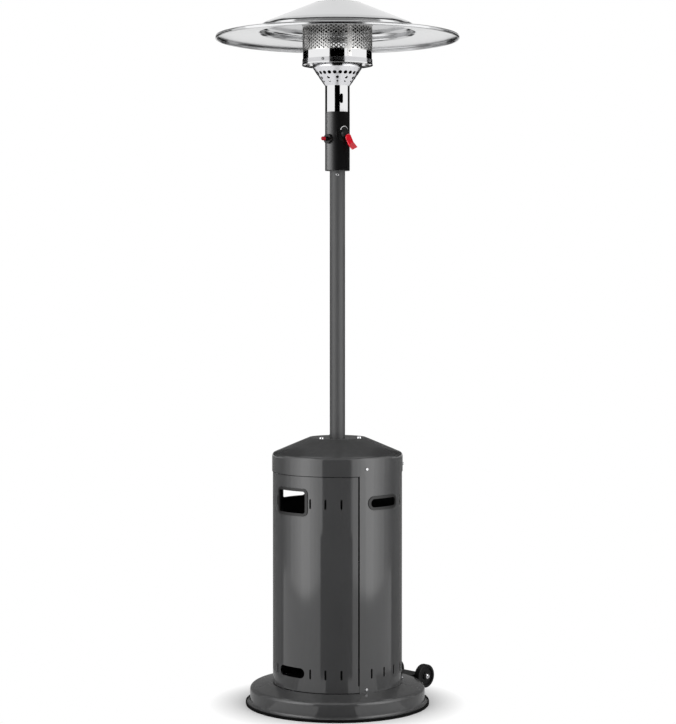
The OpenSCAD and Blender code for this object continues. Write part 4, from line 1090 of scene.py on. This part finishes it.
@dataclass
class ControlHead(SubAssembly):
    """The control housing with its valve, knob and igniter."""

    valve_azimuth: float = 79.0
    valve_height: float = 1.774
    hub_face: float = 0.0497
    lever_l: float = 0.051
    lever_w: float = 0.021
    lever_t: float = 0.005
    lever_lift: float = 0.011
    lever_flat: float = 0.64
    lever_drop: float = 0.002
    lever_head: float = 0.2
    lever_round: float = 0.95
    lever_soft: float = 0.0016
    lever_rest: float = 26.0
    soft_over: float = 0.6
    sharp_over: float = 28.0
    dial_face: float = 0.03975
    arc_r: float = 0.0138
    arc_up: float = 0.0095
    arc_wide: Flat = (0.0022, 0.0006)
    arc_turns: Flat = (168.0, 18.0)
    arc_steps: int = 28
    print_t: float = 0.0001
    button_height: float = 1.759
    button_back: float = 0.0286
    button_split: float = 0.0565
    button_tip: float = 0.066
    cap_r: float = 0.0061
    cap_soft: float = 0.0014
    cap_edge: float = 0.0004
    stem_r: float = 0.0057
    stem_edge: float = 0.0005
    stem_gap: float = 0.0001

    def build(self) -> None:
        """Dresses the head's nodes and builds its button, lever and dial mark."""
        self.dress(Finishes.head_coat, "control_housing")
        self.dress(Finishes.gloss_plastic, "head_socket", "dial_plate", "knob_hub")
        self.dress(Finishes.gloss_plastic, "igniter_body", "igniter_collar")
        self._button()
        self._lever()
        self._dial()
        self.dress(Finishes.brass, "valve_body")
        self.dress(Finishes.zinc, "valve_spindle")
        self.dress(Finishes.ceramic, "tilt_switch")
        self.dress(Finishes.burnt, "main_gas_pipe")
        LOG.info("control head dressed")

    def _button(self) -> None:
        """Turns the igniter's darkened red cap and the stem that slides in the collar, black as painted
        shade.
        """
        place = outward(0.0, 0.0, self.button_height)
        split, tip, r, soft = self.button_split, self.button_tip, self.cap_r, self.cap_soft
        cap = [(0.0, split), (r - self.cap_edge, split), (r, split + self.cap_edge)]
        cap += arc((r - soft, tip - soft), soft, 0.0, 90.0, steps=6) + [(0.0, tip)]
        # The cap's darker red is painted shade.
        self.piece(
            Shape().lathe(cap, steps=48, place=place).object("igniter_button_cap"),
            Finishes.red_in_painted_shade, Body.BUTTON, "red_plastic", "igniter_button",
        )
        # The stem's black is painted shade at the button's root.
        r, end = self.stem_r, split - self.stem_gap
        stem = [(0.0, self.button_back), (r, self.button_back), (r, end - self.stem_edge)]
        stem += [(r - self.stem_edge, end), (0.0, end)]
        self.piece(
            Shape().lathe(stem, steps=48, place=place).object("igniter_button_stem"),
            Finishes.gloss_plastic, Body.BUTTON, "black_plastic",
        )

    def _lever(self) -> None:
        """Builds the red lever with soft edges and a flared end."""
        half, long, thick, lift = self.lever_w / 2, self.lever_l, self.lever_t, self.lever_lift
        lip, head = self.lever_flat * long, -self.lever_head * half
        side = [(0.0, head), (0.0, -lip - self.lever_drop), (lift, -long)]
        side += [(lift + thick, -long), (thick, -lip), (thick, head)]
        shape = Shape()
        near = shape.points(Vector((x, -half, z)) for x, z in side)
        far = shape.points(Vector((x, half, z)) for x, z in side)
        shape.mesh.faces.new(near)
        shape.mesh.faces.new(list(reversed(far)))
        shape.band(far, near)
        crown = [shape.mesh.edges.get((line[0], line[-1])) for line in (near, far)]
        shape.round_off(crown, half * self.lever_round, segments=10, clamp=False)
        edges = [e for e in shape.mesh.edges if e.is_manifold and e.calc_face_angle(0.0) > self.soft_over]
        shape.round_off(edges, self.lever_soft, segments=4, clamp=True)
        turn = Matrix.Rotation(math.radians(self.valve_azimuth - 90.0), 4, "Z")
        place = turn @ Matrix.Translation((self.hub_face, 0.0, self.valve_height))
        place = place @ Matrix.Rotation(math.radians(self.lever_rest), 4, "X")
        bmesh.ops.transform(shape.mesh, matrix=place, verts=shape.mesh.verts)
        made = shape.object("knob_lever_moulding", self.sharp_over)
        even = made.modifiers.new("flat_faces", "WEIGHTED_NORMAL")
        even.keep_sharp = True
        self.piece(made, Finishes.red, Body.KNOB, "red_plastic", "knob_lever")

    def _dial(self) -> None:
        """Prints a plain crescent over the knob on the dial plate."""
        lines: list[list[Vector]] = []
        for side in (0.5, -0.5):
            line = []
            for k in range(self.arc_steps + 1):
                share = k / self.arc_steps
                turn = math.radians(self.arc_turns[0] + (self.arc_turns[1] - self.arc_turns[0]) * share)
                r = self.arc_r + side * (self.arc_wide[0] + (self.arc_wide[1] - self.arc_wide[0]) * share)
                azimuth = self.valve_azimuth + math.degrees(r * math.cos(turn) / self.dial_face)
                height = self.valve_height + self.arc_up + r * math.sin(turn)
                line.append(polar(self.dial_face, azimuth, height))
            lines.append(line)
        made = Shape().strip(*lines).object("dial_crescent")
        thicken = made.modifiers.new("print", "SOLIDIFY")
        thicken.thickness = self.print_t
        self.piece(made, Finishes.print_white, Body.HEATER, "white_insulator")


@dataclass
class Burner(SubAssembly):
    """The burner tube, the air cone, the pan and the emitter."""

    screen_r: float = 0.1085
    screen_foot: float = 1.9925
    screen_t: float = 0.0008
    screen_top: float = 2.112
    columns: int = 44
    first_row: float = 2.0348
    half_pitch: float = 0.0051
    rows: int = 14
    hole_r: float = 0.0037
    hole_steps: int = 12
    seam: float = 63.2
    seam_half: float = 3.0
    lap: Flat = (61.3, 68.6)
    lap_lift: float = 0.0004
    lap_foot: float = 0.0145
    lap_short: float = 0.0005
    lap_steps: int = 8
    rivet: tuple[Flat, ...] = ((0.0032, 0.0), (0.0028, 0.0008), (0.0018, 0.0013), (0.0, 0.0015))
    rivet_azimuth: float = 65.6
    rivet_heights: Flat = (2.0215, 2.098)
    pan_screws: tuple[float, ...] = (21.0, 111.0, 201.0, 291.0)
    pan_seat: float = 0.11015
    pan_foot: float = 1.9905
    hem_r: float = 0.1108
    hem_t: float = 0.0010
    hem_down: float = 0.0027
    hem_up: float = 0.0012
    vents: int = 16
    vent_ring: float = 0.094
    vent_r: Flat = (0.0068, 0.0074)
    vent_t: float = 0.0015
    vent_drop: float = 0.0003

    def build(self) -> None:
        """Dresses the burner's nodes and builds its screen, seam, screw heads and lip."""
        self.dress(Finishes.polished, "burner_tube")
        self.dress(Finishes.cone_steel, "air_cone")
        self.dress(Finishes.pan_steel, "burner_pan")
        self._screen()
        self._band()
        self._seam()
        self._screws()
        self._pan()
        self.dress(Finishes.soot, "venturi_tube", "burner_head", "emitter_cap")
        self.dress(Finishes.zinc, "reflector_spacers")
        self.dress(Finishes.brass, "gas_jet")
        self.dress(Finishes.burnt, "pilot_burner", "thermocouple")
        self.dress(Finishes.ceramic, "spark_electrode")
        LOG.info("burner dressed")

    def _screen(self) -> None:
        """Builds the perforated screen as one sheet of diamond tiles, each with a round hole."""
        shape = Shape()
        step = 180.0 / self.columns
        wrap = 2 * self.columns
        known: dict[tuple[int, int], bmesh.types.BMVert] = {}

        def at(u: float, v: float) -> Vector:
            """Gives the point at half columns from the seam and half pitches above the first row."""
            return polar(self.screen_r, self.seam + u * step, self.first_row + v * self.half_pitch)

        def corner(u: int, v: int) -> bmesh.types.BMVert:
            """Gives the shared corner of up to four tiles.

            Args:
                u: Half columns from the seam.
                v: Half pitches above the first row.

            Returns:
                The corner.
            """
            key = (u % wrap, v)
            if key not in known:
                known[key] = shape.mesh.verts.new(at(*key))
            return known[key]

        du, dv = self.hole_r / (self.screen_r * math.radians(step)), self.hole_r / self.half_pitch
        turns = [2 * math.pi * k / self.hole_steps for k in range(self.hole_steps)]
        quarter = self.hole_steps // 4
        for v in range(self.rows):
            for u in range(v % 2, wrap, 2):
                ends = [corner(u + 1, v), corner(u, v + 1), corner(u - 1, v), corner(u, v - 1)]
                if min(u, wrap - u) * step < self.seam_half:
                    shape.mesh.faces.new(ends)
                    continue
                rim = shape.points(at(u + du * math.cos(t), v + dv * math.sin(t)) for t in turns)
                for q in range(4):
                    a, b = ends[q], ends[(q + 1) % 4]
                    h = [rim[(quarter * q + k) % self.hole_steps] for k in range(quarter + 1)]
                    shape.mesh.faces.new((a, h[1], h[0]))
                    shape.mesh.faces.new((a, b, h[2], h[1]))
                    shape.mesh.faces.new((b, h[3], h[2]))
        last = self.rows - 1
        odd = last % 2
        for u in range(0, wrap, 2):
            w = u + odd
            shape.mesh.faces.new((corner(u + 1, 0), corner(u, -1), corner(u + 2, -1)))
            shape.mesh.faces.new((corner(w + 1, last), corner(w + 2, last + 1), corner(w, last + 1)))
        ring = range(odd, wrap + odd, 2)
        crest = shape.points(polar(self.screen_r, self.seam + w * step, self.screen_top) for w in ring)
        shape.band([corner(w, last + 1) for w in ring], crest)
        made = shape.object("emitter_mesh")
        thicken = made.modifiers.new("gauge", "SOLIDIFY")
        thicken.thickness = self.screen_t
        thicken.offset = -1.0
        self.piece(made, Finishes.screen_steel, Body.HEATER, "screen_steel", "emitter_screen")

    def _band(self) -> None:
        """Turns the plain band at the screen's foot."""
        top = self.first_row - self.half_pitch
        ring = box_ring(self.screen_r - self.screen_t, self.screen_r, self.screen_foot, top)
        made = Shape().lathe(ring, steps=176).weld().object("emitter_foot_band")
        self.piece(made, Finishes.polished, Body.HEATER, "polished_steel")

    def _pan(self) -> None:
        """Turns the pan's lip, which hangs below its floor, and the liners of its vents, dark as painted
        shade.
        """
        half = self.hem_t / 2
        low, high = self.pan_foot - self.hem_down, self.pan_foot + self.hem_up
        foot = arc((self.hem_r - half, low + half), half, 0.0, -180.0, steps=6)
        ring = [(self.hem_r, high)] + foot + [(self.hem_r - self.hem_t, high), (self.hem_r, high)]
        made = Shape().lathe(ring, steps=160).weld().object("burner_pan_hem")
        self.piece(made, Finishes.polished, Body.HEATER, "polished_steel")
        # The vent liners' dark burnt finish is painted shade inside the pan's vents.
        shape = Shape()
        ring = box_ring(*self.vent_r, self.pan_foot - self.vent_drop, self.pan_foot + self.vent_t)
        for i in range(self.vents):
            place = Matrix.Translation(polar(self.vent_ring, (i + 0.5) * 360.0 / self.vents, 0.0))
            shape.lathe(ring, steps=24, place=place)
        made = shape.weld().object("pan_vent_liners")
        self.piece(made, Finishes.burnt, Body.HEATER, "zinc_steel")

    def _seam(self) -> None:
        """Lays the lapped seam of the screen with its two rivets."""
        r = self.screen_r + self.lap_lift
        low = self.screen_foot + self.lap_foot
        high = self.first_row + self.rows * self.half_pitch - self.lap_short
        shape = Shape().strip(*(around(r, self.lap, height, self.lap_steps) for height in (low, high)))
        for height in self.rivet_heights:
            shape.lathe(self.rivet, steps=20, place=outward(r, self.rivet_azimuth, height))
        self.piece(shape.object("emitter_seam"), Finishes.screen_steel, Body.HEATER, "screen_steel")

    def _screws(self) -> None:
        """Builds the heads of the screws round the pan."""
        shape = Shape()
        low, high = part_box("pan_screws")
        for azimuth in self.pan_screws:
            ScrewHead().add(shape, outward(self.pan_seat, azimuth, (low[2] + high[2]) / 2))
        self.piece(
            shape.object("pan_screw_heads"), Finishes.screw, Body.HEATER, "zinc_steel", "pan_screws"
        )


@dataclass
class Reflector(SubAssembly):
    """The reflector on its spacers."""

    edge_r: float = 0.379
    edge_soft: float = 0.003
    thick: float = 0.0012
    brim_z: float = 2.079
    skirt: float = 0.011
    hem_r: float = 0.0025
    hem_turn: float = -200.0
    foot: float = 2.0885
    foot_soft: float = 0.007
    crown_r: float = 0.241
    crown_z: float = 2.102
    crown_round: float = 0.016
    top_rings: tuple[float, ...] = (0.0, 0.03, 0.055)
    top_r: float = 0.074
    top: float = 2.1815

    def build(self) -> None:
        """Builds the reflector and dresses its screws."""
        self._sheet()
        self.dress(Finishes.bright, "reflector_screws")
        LOG.info("reflector dressed")

    def _sheet(self) -> None:
        """Spins the reflector with its crown, brim, skirt and rolled hem."""
        rim = (self.top_r, self.top)
        shoulder = (self.crown_r - self.crown_round, self.crown_z)
        start = 90.0 - lean(rim, shoulder, self.crown_round)
        crown = arc(shoulder, self.crown_round, start, 0.0, steps=10)
        soft = self.foot_soft
        foot = arc((self.crown_r + soft, self.foot + soft), soft, 180.0, 270.0)
        soft = self.edge_soft
        edge = arc((self.edge_r - soft, self.brim_z - soft), soft, 90.0, 0.0)
        roll = (self.edge_r - self.hem_r, self.brim_z - self.skirt + self.hem_r)
        path = [(radius, self.top) for radius in self.top_rings] + [rim]
        path += between(rim, crown[0], 12) + crown + foot
        path += between(foot[-1], edge[0], 10) + edge
        path += arc(roll, self.hem_r, 0.0, self.hem_turn, steps=12)
        made = Shape().lathe(sheet(path, self.thick), steps=256).object("reflector_sheet_metal")
        self.piece(made, Finishes.sheet, Body.HEATER, "reflector_sheet", "reflector")


def main() -> None:
    """Builds the studio and every sub-assembly."""
    logging.basicConfig(level=logging.INFO, format="%(name)s: %(message)s")
    scene = bpy.context.scene
    scene.view_settings.view_transform = "Standard"
    studio = Studio()
    studio.build()
    finishes = Finishes(Effects())
    for part in (Base, BottleHousing, Pole, ControlHead, Burner, Reflector):
        part(finishes).build()
    studio.shade()


if __name__ == "__main__":
    main()
